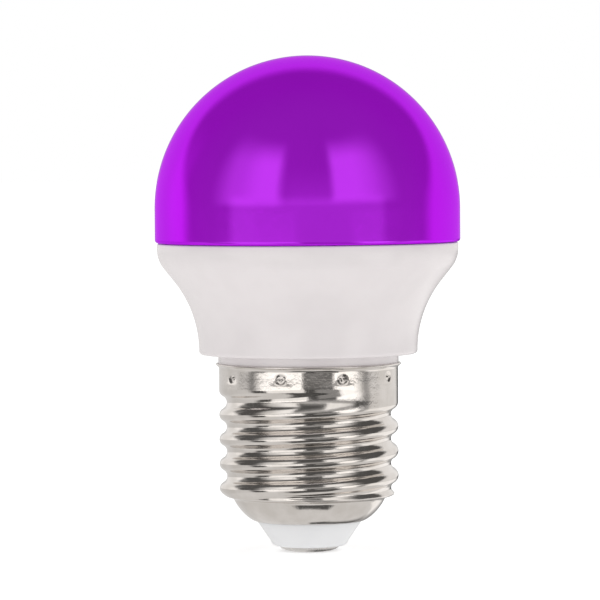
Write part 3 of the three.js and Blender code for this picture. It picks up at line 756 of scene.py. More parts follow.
def pin_body(x, y, low_z, high_z):
    """A square pin with tapered ends."""
    half = 0.25
    pin = span_body(around(x, half), around(y, half), (low_z, high_z))
    round_edges(pin, edges_along(pin, 2, False), half * 0.45, 1)
    return pin


low, high = cad_box("link_header")
LINK_PINS = [(i - 2) * 1.4 for i in range(5)]
strip_low_z, strip_high_z = 37.6, 40.1
pin_y = (low.y + high.y) / 2
strip = Vector((low.x, low.y, strip_low_z)), Vector((high.x, high.y, strip_high_z))
bodies = strip_bodies(*strip, len(LINK_PINS))
bodies += [(pin_body(pin_x, pin_y, low.z, high.z), pin_metal) for pin_x in LINK_PINS]
fit(assemble("link_pin_header", bodies), "link_header")

low, high = cad_box("radio_header")
bodies = strip_bodies(low, high, len(RADIO_PINS))
for pin_x in RADIO_PINS:
    pin = peg_body((pin_x, low.y - 0.6, 36.5), (pin_x, high.y - 0.05, 36.5), 0.26, sides=4)
    bodies.append((pin, pin_metal))
fit(assemble("radio_pin_header", bodies), "radio_header")

# ---------------------------------------------------------- radio board
# The wireless module: a black circuit board on edge. Its chip is under a tinned can, and its printed
# aerial, a zigzag of copper, stands up through the LED board into the dome, clear of the metal.

black_mask = finish("black_solder_mask", (0.010, 0.012, 0.015), (0.022, 0.025, 0.03), 0.36, scale=0.4)
add_relief(black_mask, weave, 0.4, 0.006)
gold_copper = finish("gilded_copper", (0.70, 0.46, 0.16), (0.82, 0.58, 0.24), 0.25, scale=1.5, metallic=1.0)

low, high = cad_box("radio_board")
outline = [(low.x, low.z), (high.x, low.z), (high.x, high.z), (low.x, high.z)]
bodies = [(plate_body(outline, low.y, high.y, 0.4), black_mask)]
# The aerial is a zigzag: rungs across, joined at alternate ends.
RUNG_STEP, RUNG_HALF, aerial_top, track_half = 1.05, 4.3, high.z - 0.8, 0.22
RUNGS = 6
copper_y = high.y - 0.02, high.y + COPPER_HIGH
for i in range(RUNGS):
    z = aerial_top - i * RUNG_STEP
    bodies.append((span_body(around(0, RUNG_HALF), copper_y, around(z, track_half)), gold_copper))
    if i < RUNGS - 1:
        end = RUNG_HALF * (1 if i % 2 else -1)
        z_ends = z - RUNG_STEP + track_half, z - track_half
        bodies.append((span_body(around(end, track_half), copper_y, z_ends), gold_copper))
PAD_Z = 35.8
for x in RADIO_PINS:
    for face_y, out in ((low.y, -1), (high.y, 1)):
        pad = peg_body((x, face_y - out * 0.02, PAD_Z), (x, face_y + out * 0.25, PAD_Z), 0.42, 0.3)
        bodies.append((pad, solder))
for x, z in ((-4.2, 43.4), (-2.4, 43.6), (2.6, 43.4), (4.3, 43.2), (3.4, 45.0)):
    bodies += chip_part(x, z, high.y, 1, 0.5, 0.4, 0.3, (0.3, 0.43, 0.06))
fit(assemble("radio_circuit_board", bodies), "radio_board")

can_tin = finish("tinned_steel", (0.60, 0.61, 0.62), (0.74, 0.75, 0.76), 0.26, scale=0.35, metallic=1.0)

low, high = cad_box("radio_shield")
can = box_body(low, high)
round_edges(can, [e for e in can.edges if max(v.co.y for v in e.verts) > low.y * MM + MERGE], 0.45, 4)
# A pressed step round the lid, and two rows of vent holes sunk in it.
lid = [f for f in can.faces if f.normal.y > 0.99 and f.calc_area() > 1e-5]
bmesh.ops.inset_individual(can, faces=lid, thickness=0.35 * MM, depth=0)
bmesh.ops.inset_individual(can, faces=lid, thickness=0.12 * MM, depth=0.12 * MM)
for i in range(5):
    x = (i - 2) * 1.5
    for z in (low.z + 1.9, high.z - 1.9):
        can = carve(can, peg_body((x, high.y - 0.35, z), (x, high.y + 1, z), 0.3, sides=20))
fit(assemble("pressed_radio_shield", [(can, can_tin)]), "radio_shield")

# ------------------------------------------------------------ live wire
# Red insulated wire from the centre contact's rivet to the fusible resistor. It bends
# up beside the driver board, and its far end is soldered to the resistor's lead.

red_insulation = finish(
    "red_insulation", (0.36, 0.010, 0.008), (0.50, 0.02, 0.015), 0.38, scale=0.6, relief=0.01
)

LIVE_ROUTE = [
    (0, 0, 4.2),
    (0.1, -0.2, 5.6),
    (1.4, -2.2, 7.2),
    (3.9, -5.0, 7.6),
    (5.0, -6.35, 8.1),
    (5.0, -6.35, 9.2),
]
bodies = [(wire_body(LIVE_ROUTE, 0.6, 12), red_insulation)]
bodies.append((peg_body((5.0, -6.35, 9.0), (5.0, -6.35, 9.5), 0.5, 0.38), solder))
fit(assemble("live_lead", bodies, 50), "live_wire")

# --------------------------------------------------------- neutral wire
# White insulated wire from the board, out under the neck's
# foot and up its notch, where the cap traps the bare end.

white_insulation = finish(
    "white_insulation", (0.66, 0.66, 0.63), (0.78, 0.78, 0.75), 0.4, scale=0.6, relief=0.01
)
tinned_strands = finish(
    "tinned_strands", (0.62, 0.60, 0.56), (0.76, 0.74, 0.70), 0.3, scale=2.0, metallic=1.0
)

NEUTRAL_ANGLE = math.radians(222)


def by_notch(radius, z):
    """A point at a radius and a height on the bearing of the neck's notch."""
    return (radius * math.cos(NEUTRAL_ANGLE), radius * math.sin(NEUTRAL_ANGLE), z)


BARE_FROM_Z, NOTCH_R = 14.0, 10.95
route = [(-6.4, -5.0, 14.6), (-6.3, -5.2, 12.6), by_notch(8.9, 11.2), by_notch(10.3, 11.3)]
route += [by_notch(NOTCH_R, 12.4), by_notch(NOTCH_R, BARE_FROM_Z)]
bare_route = [by_notch(NOTCH_R, BARE_FROM_Z - 0.4), by_notch(NOTCH_R, 16), by_notch(11.0, 18.4)]
bodies = [(wire_body(route, 0.4, 12), white_insulation), (wire_body(bare_route, 0.27), tinned_strands)]
fit(assemble("neutral_lead", bodies, 50), "neutral_wire")

# -------------------------------------------------------------- housing
# The white flare, collar and neck: one injection moulding in satin plastic.
# The neck carries the cap, ribs in its bore hold the driver board, and a notch
# outside it takes the neutral wire. The flare's top edge meets the dome.

housing_white = finish(
    "moulded_white", (0.708, 0.668, 0.670), (0.722, 0.682, 0.684), 0.25, 0.03, scale=0.3, relief=0.002
)

SEAM_Z = 45.5
SHOULDER_Z = 29.1
WAIST_R = 16.1
TOP_R = 22.2
WALL = 1.3
COLLAR_R = 13.3
COLLAR_FOOT = 27.75
HOLLOW_R = 16.5
ROUND_R = 4.5
TURN = 38.5
FLOOR_Z = 30.4
hollow_centre = (WAIST_R + HOLLOW_R, SHOULDER_Z + 0.5)
turn = math.radians(TURN)
hollow_end = hollow_centre[0] - HOLLOW_R * math.cos(turn), hollow_centre[1] + HOLLOW_R * math.sin(turn)
straight = (TOP_R - ROUND_R + ROUND_R * math.cos(turn) - hollow_end[0]) / math.tan(turn)
round_z = hollow_end[1] + straight + ROUND_R * math.sin(turn)


def hollow_curve(offset, low_z, steps):
    """The flare's hollow curve, moved in from the outside by an offset, from a height up."""
    radius = HOLLOW_R + offset
    start = 180 - math.degrees(math.asin((low_z - hollow_centre[1]) / radius))
    return arc(*hollow_centre, radius, start, 180 - TURN, steps)


outline = [(COLLAR_R, COLLAR_FOOT), (COLLAR_R, SHOULDER_Z - 0.2)]
outline += arc(COLLAR_R + 0.2, SHOULDER_Z - 0.2, 0.2, 180, 90, 3)[1:]
outline += arc(WAIST_R - 0.5, SHOULDER_Z + 0.5, 0.5, -90, 0, 6)
outline += hollow_curve(0, SHOULDER_Z + 0.9, 28)
outline += arc(TOP_R - ROUND_R, round_z, ROUND_R, -TURN, 0, 16)
outline += arc(TOP_R - 0.3, SEAM_Z - 0.3, 0.3, 0, 90, 5)
outline += [(21.0, SEAM_Z), (21.0, 43.0), (20.1, 43.0), (20.1, 42.4)]
outline += hollow_curve(WALL, FLOOR_Z, 16)[::-1]
# The neck: its bore, its foot, and two steps outside that the cap is crimped over.
outline += [(9.9, FLOOR_Z), (9.9, 12.6), (10.0, 12.5), (11.2, 12.5), (11.3, 12.6), (11.3, 23.7), (11.4, 23.8)]
outline += [(12.5, 23.8), (12.5, 24.8), (11.6, 24.8), (11.6, 27.0), (12.5, 27.0), (12.5, COLLAR_FOOT)]
shell = turned_body(outline, 192)
for side in (-1, 1):
    for rib_low in (-5.6, -3.3):
        rib = span_body((side * 7.9, side * 10.1), (rib_low, rib_low + 0.9), (14, 28))
        shell = carve(shell, rib, "UNION")
notch = box_body((10.4, -0.8, 11.5), (12, 0.8, 19))
bmesh.ops.transform(notch, matrix=Matrix.Rotation(NEUTRAL_ANGLE, 4, "Z"), verts=notch.verts)
shell = carve(shell, notch)
fit(assemble("moulded_housing", [(shell, housing_white)], 30), "housing")

# ------------------------------------------------------------ heat sink
# A spun aluminium cup that lines the flare. It carries the
# LEDs' heat to the housing, and its ledge holds their board.

# The rings that a turning or spinning tool leaves, which follow a turned piece's outline.
tool_rings, given, gives = new_group("tool_rings", {"Scale": "Float"}, {"Height": "Float"})
axes = node(tool_rings, "SeparateXYZ", {0: node(tool_rings, "TexCoord").outputs["Object"]})
squares = [math_node(tool_rings, "POWER", axes.outputs[axis], 2.0) for axis in "XY"]
from_axis = math_node(tool_rings, "SQRT", math_node(tool_rings, "ADD", *squares))
across = node(tool_rings, "CombineXYZ", {"X": from_axis, "Z": axes.outputs["Z"]}).outputs[0]
lines = node(tool_rings, "TexNoise", {"Vector": across, "Scale": given["Scale"], "Detail": 4.0}).outputs[0]
tool_rings.links.new(lines, gives["Height"])

spun_aluminium = finish(
    "spun_aluminium", (0.62, 0.63, 0.65), (0.72, 0.73, 0.75), 0.34, scale=0.1, metallic=1.0
)
add_relief(spun_aluminium, tool_rings, 3.0, 0.03)

low, high = cad_box("heat_sink_cup")
SINK_GAP, SINK_WALL = 0.3, 0.8
LEDGE_INNER = 12.5
SCREW_RING_R, SCREW_HOLE_R = 15.5, 1.3


def with_screw_holes(body, low_z, high_z):
    """Drills the two holes that the LED board's screws pass through."""
    for x in (-SCREW_RING_R, SCREW_RING_R):
        body = carve(body, peg_body((x, 0, low_z), (x, 0, high_z), SCREW_HOLE_R, sides=40))
    return body


outline = hollow_curve(WALL + SINK_GAP, low.z, 14)
outline += [(high.x, high.z - 0.6), (high.x - 0.25, high.z), (LEDGE_INNER + 0.1, high.z)]
outline += [(LEDGE_INNER, high.z - 0.1), (LEDGE_INNER, high.z - SINK_WALL), (18.1, high.z - SINK_WALL)]
outline += hollow_curve(WALL + SINK_GAP + SINK_WALL, low.z, 14)[::-1]
cup = with_screw_holes(turned_body(outline, 128), high.z - 2, high.z + 1)
fit(assemble("spun_heat_sink", [(cup, spun_aluminium)], 30), "heat_sink_cup")

# ---------------------------------------------------------- thermal pad
# A soft grey silicone pad, die-cut to a ring, that
# fills the gap between the ledge and the LED board.

pad_grey = finish("filled_silicone", (0.36, 0.38, 0.41), (0.46, 0.49, 0.52), 0.8, scale=0.6, relief=0.03)

low, high = cad_box("thermal_pad")
outline = soften([(12.8, low.z), (high.x, low.z), (high.x, high.z), (12.8, high.z)], 0.08)
pad_body = with_screw_holes(turned_body(outline, 128), low.z - 1, high.z + 1)
fit(assemble("die_cut_thermal_pad", [(pad_body, pad_grey)]), "thermal_pad")

# ------------------------------------------------------------ LED board
# An aluminium disc with printed copper under white solder mask. Slots let the radio
# board and the link pins through, and bare rings lie under the screws' heads.

white_mask = finish(
    "white_solder_mask", (0.80, 0.80, 0.77), (0.88, 0.88, 0.85), 0.32, scale=0.2, relief=0.006
)

low, high = cad_box("led_board")
outline = soften([(0, low.z), (high.x, low.z), (high.x, high.z), (0, high.z)], 0.15)
disc = with_screw_holes(turned_body(outline, 128, ring=False), low.z - 1, high.z + 1)
for slot_low, slot_high in (((-5.8, -0.7), (5.8, 0.7)), ((-3.7, -6.4), (3.7, -5.1))):
    slot = box_body((*slot_low, low.z - 1), (*slot_high, high.z + 1))
    round_edges(slot, edges_along(slot, 2), 0.4, 4)
    disc = carve(disc, slot)
bodies = [(disc, white_mask)]
ring_in, ring_out, ring_low, ring_high = SCREW_HOLE_R + 0.1, 2.2, high.z - 0.02, high.z + 0.03
outline = [(ring_in, ring_low), (ring_out, ring_low), (ring_out, ring_high), (ring_in, ring_high)]
bodies += [(turned_body(outline, 40, (x, 0)), solder) for x in (-SCREW_RING_R, SCREW_RING_R)]
# Copper under the mask shows as low raised pads, one on each side of every white LED.
WHITE_LEDS = 8
for i in range(WHITE_LEDS):
    for turn_by in (-0.155, 0.155):
        bearing = (i + 0.5) / WHITE_LEDS * 2 * math.pi + turn_by
        land = span_body((13.4, 16.6), around(0, 0.75), (high.z - 0.02, high.z + 0.035), 0.015, 1)
        bmesh.ops.transform(land, matrix=Matrix.Rotation(bearing, 4, "Z"), verts=land.verts)
        bodies.append((land, white_mask))
fit(assemble("led_circuit_board", bodies), "led_board")

# ----------------------------------------------------------------- LEDs
# Eight white LEDs in a ring, and four colour LEDs inside it. Each is a
# moulded white frame with plated ends. The white ones hold phosphor resin,
# and each colour one has a red, a green and a blue die under clear resin.

led_frame = finish("led_frame", (0.80, 0.80, 0.78), (0.88, 0.88, 0.86), 0.42, scale=1.5, relief=0.004)
phosphor = finish("phosphor_resin", (0.78, 0.50, 0.06), (0.90, 0.64, 0.14), 0.3, scale=2.5, relief=0.02)
clear_resin = finish("cured_resin", (0.62, 0.66, 0.68), (0.74, 0.77, 0.79), 0.08, scale=1.0, Coat_Weight=1.0)
DIE_COLOURS = {"red": (0.40, 0.05, 0.04), "green": (0.05, 0.30, 0.14), "blue": (0.05, 0.10, 0.38)}
dies = [
    finish(f"{name}_die", tuple(c * 0.7 for c in colour), colour, 0.2) for name, colour in DIE_COLOURS.items()
]

LEDS = {
    "white_led": {"count": WHITE_LEDS, "ring": 15.0, "size": (2.8, 3.5, 0.8), "slot": "white_led_phosphor"},
    "colour_led": {"count": 4, "ring": 9.5, "size": (3.5, 3.5, 1.2), "slot": "colour_led_resin"},
}
for kind, led in LEDS.items():
    wide, deep, tall = led["size"]
    white = kind == "white_led"
    for i in range(led["count"]):
        foot = cad_box(f"{kind}_{i + 1}")[0].z
        frame_body = span_body(around(0, wide / 2), around(0, deep / 2), (foot, foot + tall), 0.12)
        # The well for the resin is stepped down into the frame's top.
        well = [f for f in frame_body.faces if f.normal.z > 0.99 and f.calc_area() > 2e-6]
        bmesh.ops.inset_individual(frame_body, faces=well, thickness=0.28 * MM, depth=0)
        bmesh.ops.inset_individual(frame_body, faces=well, thickness=0.16 * MM, depth=-0.3 * MM)
        for face in well:
            face.material_index = 1
        bodies = [(frame_body, (led_frame, phosphor if white else clear_resin))]
        for side in (-1, 1):
            y_ends = side * (deep / 2 - 0.3), side * (deep / 2 + 0.06)
            for pad_x in (0,) if white else (-0.95, 0.95):
                x_ends = around(pad_x, 0.8 if white else 0.45)
                bodies.append((span_body(x_ends, y_ends, (foot, foot + 0.3), 0.04), solder))
        if not white:
            for die, die_x in zip(dies, (-0.8, 0, 0.8)):
                z_ends = foot + tall - 0.32, foot + tall - 0.12
                bodies.append((span_body(around(die_x, 0.22), around(0, 0.22), z_ends, 0.03), die))
        bearing = (i + 0.5) / led["count"] * 2 * math.pi
        place = Matrix.Rotation(bearing, 4, "Z") @ Matrix.Translation((led["ring"] * MM, 0, 0))
        for body, _ in bodies:
            bmesh.ops.transform(body, matrix=place, verts=body.verts)
        fit(assemble(f"framed_{kind}_{i + 1}", bodies), f"{kind}_{i + 1}")

# ---------------------------------------------------------- link socket
# The natural nylon socket on the LED board that the link pins slide up into. It has a
# square hole for each pin, and a tinned tail from each contact, soldered to the board.

nylon_white = finish("natural_nylon", (0.70, 0.69, 0.64), (0.80, 0.79, 0.74), 0.4, scale=0.8, relief=0.01)

low, high = cad_box("link_socket")
block = box_body(low, high, 0.2, 3)
hole_half = 0.45
for x in LINK_PINS:
    hole = span_body(around(x, hole_half), around(pin_y, hole_half), (low.z - 1, high.z + 1))
    block = carve(block, hole)
bodies = [(block, nylon_white)]
for x in LINK_PINS:
    tail = span_body(around(x, 0.35), (low.y - 0.9, low.y + 0.1), (low.z, low.z + 0.25), 0.06)
    bodies.append((tail, tinned_lead))
fit(assemble("link_pin_socket", bodies), "link_socket")

# --------------------------------------------------------- board screws
# Two zinc-plated pan-head screws with a cross recess. They
# clamp the LED board and the pad to the heat sink's ledge.

zinc_steel = finish("zinc_plate", (0.58, 0.58, 0.57), (0.68, 0.69, 0.70), 0.24, scale=1.0, metallic=1.0)

for number, side in ((1, 1), (2, -1)):
    low, high = cad_box(f"board_screw_{number}")
    head_r, shank_r, under = (high.x - low.x) / 2, 1.0, cad_box("led_board")[1].z
    head = [(0, under + 0.02), (head_r, under + 0.02), (head_r, under + 0.55)]
    head += bezier([(head_r, under + 0.6), (head_r * 0.85, high.z), (0, high.z)], 10)
    x = side * SCREW_RING_R
    cap_body = turned_body(head, 48, (x, 0), ring=False)
    for half_x, half_y in ((0.95, 0.17), (0.17, 0.95)):
        recess = span_body(around(x, half_x), around(0, half_y), (high.z - 0.65, high.z + 1), 0.04, 1)
        cap_body = carve(cap_body, recess)
    # The thread is a stack of shallow ridges that ends in a point.
    ridges = [(0, under + 0.1), (shank_r - 0.02, under + 0.1)]
    pitch, depth = 0.45, 0.16
    z = under - 0.3
    while z > low.z + 1.2:
        ridges += [(shank_r - depth, z), (shank_r, z - pitch / 2)]
        z -= pitch
    ridges += [(shank_r - depth, z), (0.35, low.z + 0.3), (0, low.z)]
    shank = turned_body(ridges, 32, (x, 0), ring=False)
    screw = assemble(f"pan_head_screw_{number}", [(cap_body, zinc_steel), (shank, zinc_steel)], 40)
    fit(screw, f"board_screw_{number}")

# -------------------------------------------------------- cap insulator
# The white insulator moulded between the cap's shell and its
# contact: a cone outside, and a flange that keys inside.

insulator_white = finish(
    "insulator_white", (0.775, 0.777, 0.785), (0.80, 0.802, 0.81), 0.36, scale=0.12, relief=0.012
)

CONTACT_Z = 0.75
outline = [(1.4, CONTACT_Z), (4.5, CONTACT_Z)] + bezier([(4.7, CONTACT_Z), (5.55, 0.8), (5.75, 1.5)], 8)
outline += [(7.7, 4.35), (7.7, 4.42), (7.35, 4.42), (7.35, 5.5), (8.3, 5.5)]
outline += [(8.6, 6.8), (5.6, 6.8), (5.6, 3.2), (1.4, 3.2)]
cone = turned_body(outline, 128)
fit(assemble("moulded_insulator", [(cone, insulator_white)]), "cap_insulator")

# ------------------------------------------------------- centre contact
# A nickel-plated button with fine turning rings and scratches.
# Its shank goes through the insulator and is riveted over inside.

# Fine scratches from handling: long thin streaks that dull the surface where they cross it.
scratches, given, gives = new_group("fine_scratches", {"Scale": "Float"}, {"Mask": "Float"})
place = node(scratches, "TexCoord").outputs["Object"]
STREAK = 14.0
masks = []
for lean in (0.5, 2.1):
    leant = node(scratches, "VectorRotate", {"Vector": place, "Angle": lean}, rotation_type="X_AXIS")
    stretch = {0: leant.outputs[0], 1: (1.0, 1.0, 1 / STREAK)}
    streaks = node(scratches, "VectorMath", stretch, operation="MULTIPLY").outputs[0]
    grain = {"Vector": streaks, "Scale": given["Scale"], "Detail": 1.0}
    noise = node(scratches, "TexNoise", grain).outputs[0]
    off_middle = math_node(scratches, "ABSOLUTE", math_node(scratches, "SUBTRACT", noise, 0.5))
    masks.append(blend_range(scratches, off_middle, 0.0, 0.012, 1.0, 0.0))
scratches.links.new(math_node(scratches, "MAXIMUM", *masks), gives["Mask"])


def scuff(material, scale, dulling):
    """Raises a material's roughness along fine scratches."""
    tree = material.node_tree
    shader = tree.nodes["Principled BSDF"]
    below = shader.inputs["Roughness"].links[0].from_socket
    mask = use_group(tree, scratches, Scale=scale).outputs["Mask"]
    tree.links.new(math_node(tree, "MULTIPLY_ADD", mask, dulling, below), shader.inputs["Roughness"])


contact_nickel = finish(
    "contact_nickel", (0.64, 0.62, 0.60), (0.72, 0.70, 0.68), 0.26, 0.12, scale=0.5, metallic=1.0
)
add_relief(contact_nickel, tool_rings, 2.5, 0.012)
scuff(contact_nickel, 1.2, 0.15)

outline = [(0, 0), (2.75, 0)] + bezier([(2.85, 0), (3.55, 0.05), (4.1, 0.3), (4.45, 0.6), (4.5, 0.72)], 10)
outline += [(4.4, CONTACT_Z), (1.15, CONTACT_Z), (1.1, 0.85), (1.1, 3.35)]
outline += [(1.9, 3.35), (1.9, 3.5), (1.2, 3.85), (0, 3.9)]
button = turned_body(outline, 96, ring=False)
fit(assemble("riveted_contact", [(button, contact_nickel)], 30), "centre_contact")

# ---------------------------------------------------------- screw shell
# The cap's shell: nickel-plated brass sheet, drawn into a cup and rolled into a right-hand thread that runs
# out into a plain band. Its lip flares under the collar, and a ring of punched dents crimps it to the neck.

bright_nickel = finish(
    "bright_nickel",
    (0.645, 0.61, 0.575),
    (0.72, 0.685, 0.655),
    0.085,
    0.05,
    scale=0.3,
    relief=0.006,
    metallic=1.0,
)
add_relief(bright_nickel, tool_rings, 0.9, 0.008)
scuff(bright_nickel, 0.7, 0.10)

CREST_R = 13.2
SHEET = 0.3
RIM_Z = 27.8
PITCH = 3.629
DEPTH = 1.1
CREST_Z_AT_PLUS_X = 18.35
RUN_OUT = (0.5, 0.886)
BAND_FOOT_Z = 25.2
# The crimps: where they stand, the ring-shaped dent of each, and the soft pull of the sheet round it.
CRIMPS = {"count": 9, "first": -68, "z": 25.9}
CRIMPS |= {"ring": 0.46, "width": 0.30, "depth": 0.22, "pull": 0.03, "reach": 1.2}
ARC_R = (PITCH**2 / 4 + DEPTH**2) / (4 * DEPTH)


def smoothstep(low, high, value):
    """Rises smoothly from 0 to 1 between two values."""
    t = min(max((value - low) / (high - low), 0), 1)
    return t * t * (3 - 2 * t)


def thread_fall(z, angle):
    """How far the rolled thread lies below its crest. Crest and root are equal arcs, and it runs out."""
    turns = (z - CREST_Z_AT_PLUS_X) / PITCH - angle / (2 * math.pi)
    share = 1 - smoothstep(*RUN_OUT, math.floor(turns) + angle / (2 * math.pi))
    from_crest = abs(turns - round(turns)) * PITCH
    if from_crest < PITCH / 4:
        return share * (ARC_R - math.sqrt(ARC_R**2 - from_crest**2))
    from_root = PITCH / 2 - from_crest
    return share * (DEPTH - ARC_R + math.sqrt(ARC_R**2 - from_root**2))


def crimp_fall(z, angle):
    """How far a punched crimp sinks the band: a ring-shaped dent round a small dome, and a wide soft pull."""
    step = 2 * math.pi / CRIMPS["count"]
    turn = (angle - math.radians(CRIMPS["first"])) / step
    away = math.hypot((turn - round(turn)) * step * CREST_R, z - CRIMPS["z"])
    ring_dent = max(0, 1 - ((away - CRIMPS["ring"]) / CRIMPS["width"]) ** 2)
    return CRIMPS["depth"] * ring_dent + CRIMPS["pull"] * math.exp(-((away / CRIMPS["reach"]) ** 2))


bowl = bezier([(7.95, 4.45), (9.0, 4.7), (10.6, 6.35), (11.2, 7.8)], 18)
# The ledge is a quarter of an oval, from the bowl's rim out to the thread.
LEDGE_R, LEDGE_Z, THREAD_FOOT_Z = 11.25, 8.0, 8.95
ledge = []
for share in (0.015, 0.05, 0.12, 0.25, 0.42, 0.65):
    out = (CREST_R - LEDGE_R) * math.sqrt(1 - (1 - share) ** 2)
    ledge.append((LEDGE_R + out, LEDGE_Z + (THREAD_FOOT_Z - LEDGE_Z) * share))
ROWS = 112
band_top = RIM_Z - 0.75
straight = [(CREST_R, THREAD_FOOT_Z + (band_top - THREAD_FOOT_Z) * i / ROWS) for i in range(ROWS + 1)]
lip = [(CREST_R + 0.05, RIM_Z - 0.62), (CREST_R + 0.17, RIM_Z - 0.45), (CREST_R + 0.30, RIM_Z - 0.33)]
lip += arc(CREST_R + 0.30, RIM_Z - 0.16, 0.16, -45, 90, 6)
outside = bowl + ledge + straight + lip
inside = [(r - SHEET, z) for r, z in reversed(outside[::2]) if r > 11.3 and z < RIM_Z - 0.5]
inside += bezier([(10.9, 7.9), (10.4, 6.7), (9.3, 5.1), (7.95, 4.75)], 10)
shell_body = turned_body(outside + inside, 320)
for vertex in shell_body.verts:
    x, y, z = vertex.co / MM
    radius, angle = math.hypot(x, y), math.atan2(y, x)
    fall = 0.0
    if LEDGE_Z < z < BAND_FOOT_Z:
        fall = smoothstep(LEDGE_Z - 0.05, THREAD_FOOT_Z, z) * thread_fall(z, angle)
    elif z > BAND_FOOT_Z - 1:
        fall = crimp_fall(z, angle)
    vertex.co.x *= (radius - fall) / radius
    vertex.co.y *= (radius - fall) / radius
fit(assemble("rolled_screw_shell", [(shell_body, bright_nickel)], 50), "screw_shell")

# ------------------------------------------------------------ glue bead
# A bead of clear-white silicone on the housing's ledge. It
# holds the dome's lip, and a little squeezes up its side.

silicone = finish("silicone_bead", (0.78, 0.78, 0.75), (0.86, 0.86, 0.83), 0.45, scale=0.4, relief=0.04)

low, high = cad_box("dome_glue_bead")
bead_in = high.x - 0.8
outline = [(bead_in, low.z), (high.x, low.z), (high.x, high.z), (bead_in, high.z)]
bead_body = turned_body(soften(outline, 0.16, 4), 160)
# The bead was laid by hand, so its upper part swells and narrows on the way round.
BEAD_WAVES, SWELL = 23, 0.0022
for vertex in bead_body.verts:
    x, y, z = vertex.co / MM
    swell = 1 - SWELL * (1 + math.sin(BEAD_WAVES * math.atan2(y, x))) * (z > low.z + 0.2)
    vertex.co.x *= swell
    vertex.co.y *= swell
fit(assemble("silicone_glue_bead", [(bead_body, silicone)], 50), "dome_glue_bead")

# ----------------------------------------------------------------- dome
# The purple diffuser: half a ball on a short skirt, injection-moulded in pearly polycarbonate
# and polished. A lip under it plugs into the housing, and a hairline gap is left at the seam.

pearl_purple = finish(
    "pearl_purple",
    (0.478, 0.0088, 0.815),
    (0.502, 0.0104, 0.845),
    0.09,
    0.02,
    scale=0.05,
    relief=0.008,
    metallic=0.5,
    Specular_IOR_Level=0.0,
    Specular_Tint=(0.78, 0.10, 0.98, 1),
    Coat_Roughness=0.08,
)
scuff(pearl_purple, 0.25, 0.04)
# The clear skin over the pearl shows face on and gives way to the pearl's own edge.
tree = pearl_purple.node_tree
facing = node(tree, "LayerWeight", {"Blend": 0.5}).outputs["Facing"]
skin = blend_range(tree, facing, 0.15, 0.42, 0.6, 0.1)
tree.links.new(skin, tree.nodes["Principled BSDF"].inputs["Coat Weight"])

DOME_R = 22.5
DOME_TOP = 73.0
DOME_WALL = 1.2
dome_z = DOME_TOP - DOME_R
inner_r = DOME_R - DOME_WALL
outline = arc(0, dome_z, inner_r, 90, 0, 40)
# The lip that plugs into the housing.
outline += [(inner_r, 46.6), (19.6, 45.6), (19.6, 43.6), (19.7, 43.5)]
outline += [(20.5, 43.5), (20.6, 43.6), (20.6, SEAM_Z + 0.05)]
outline += arc(DOME_R - 0.45, SEAM_Z + 0.5, 0.45, -90, 0, 8)
# Rows near both ends of the skirt keep its shading level.
outline += [(DOME_R, SEAM_Z + rise) for rise in (0.56, 0.8, 2.5, 4.2, 4.8)]
outline += arc(0, dome_z, DOME_R, 0, 90, 72)
outline[0], outline[-1] = (0, outline[0][1]), (0, outline[-1][1])
dome_body = turned_body(outline, 192, ring=False)
fit(assemble("moulded_dome", [(dome_body, pearl_purple)], 30), "dome_diffuser")

# ---------------------------------------------------------------- floor
# Plain white paper, wide enough to have no edge in view. It
# is clear from below, so that the bulb's foot can be seen.

FLOOR_R = 6.0
floor_body = bmesh.new()
bmesh.ops.create_circle(floor_body, cap_ends=True, segments=96, radius=FLOOR_R)
paper = finish(
    "white_paper",
    (0.88, 0.88, 0.88),
    (0.90, 0.90, 0.90),
    1.0,
    0.0,
    scale=0.02,
    relief=0.0,
    Specular_IOR_Level=0.0,
)
tree = paper.node_tree
shader = tree.nodes["Principled BSDF"]
shader.inputs["Emission Color"].default_value = (1, 1, 1, 1)
shader.inputs["Emission Strength"].default_value = 0.42
clear = node(tree, "BsdfTransparent")
below = node(tree, "NewGeometry").outputs["Backfacing"]
either = node(tree, "MixShader", {0: below, 1: shader.outputs[0], 2: clear.outputs[0]})
tree.links.new(either.outputs[0], tree.nodes["Material Output"].inputs["Surface"])
floor_mesh = bpy.data.meshes.new("floor")
floor_body.to_mesh(floor_mesh)
floor_body.free()
floor_mesh.materials.append(paper)
floor = add_object("floor", floor_mesh)
floor.visible_glossy = False
floor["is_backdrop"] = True

# --------------------------------------------------------------- studio
# Soft white light from all round, and softboxes that show only in the gloss. They are painted on the world
# by bearing from the camera's side, right positive, and by height above the horizon, both in degrees.

world = bpy.data.worlds.new("studio")
bpy.context.scene.world = world
world.use_nodes = True
# Rays find the world by themselves, so that each kind of ray sees its own light.
world.cycles.sampling_method = "NONE"
sky = world.node_tree
sky.nodes.clear()
axes = node(sky, "SeparateXYZ", {0: node(sky, "TexCoord").outputs["Generated"]})
forward = math_node(sky, "MULTIPLY", axes.outputs["Y"], -1.0)
bearing = math_node(sky, "DEGREES", math_node(sky, "ARCTAN2", axes.outputs["X"], forward))
height = math_node(sky, "DEGREES", math_node(sky, "ARCSINE", axes.outputs["Z"]))
turned_away = math_node(sky, "DEGREES", math_node(sky, "ARCCOSINE", forward))


def softbox(strength, left, right, low, high):
    """A soft-edged panel. Each edge is a pair of angles over which it brightens, outer angle first."""
    product = strength
    for angle, (outer, inner) in ((bearing, left), (bearing, right), (height, low), (height, high)):
        if outer < inner:
            edge = blend_range(sky, angle, outer, inner)
        else:
            edge = blend_range(sky, angle, inner, outer, 1.0, 0.0)
        product = math_node(sky, "MULTIPLY", edge, product)
    return product


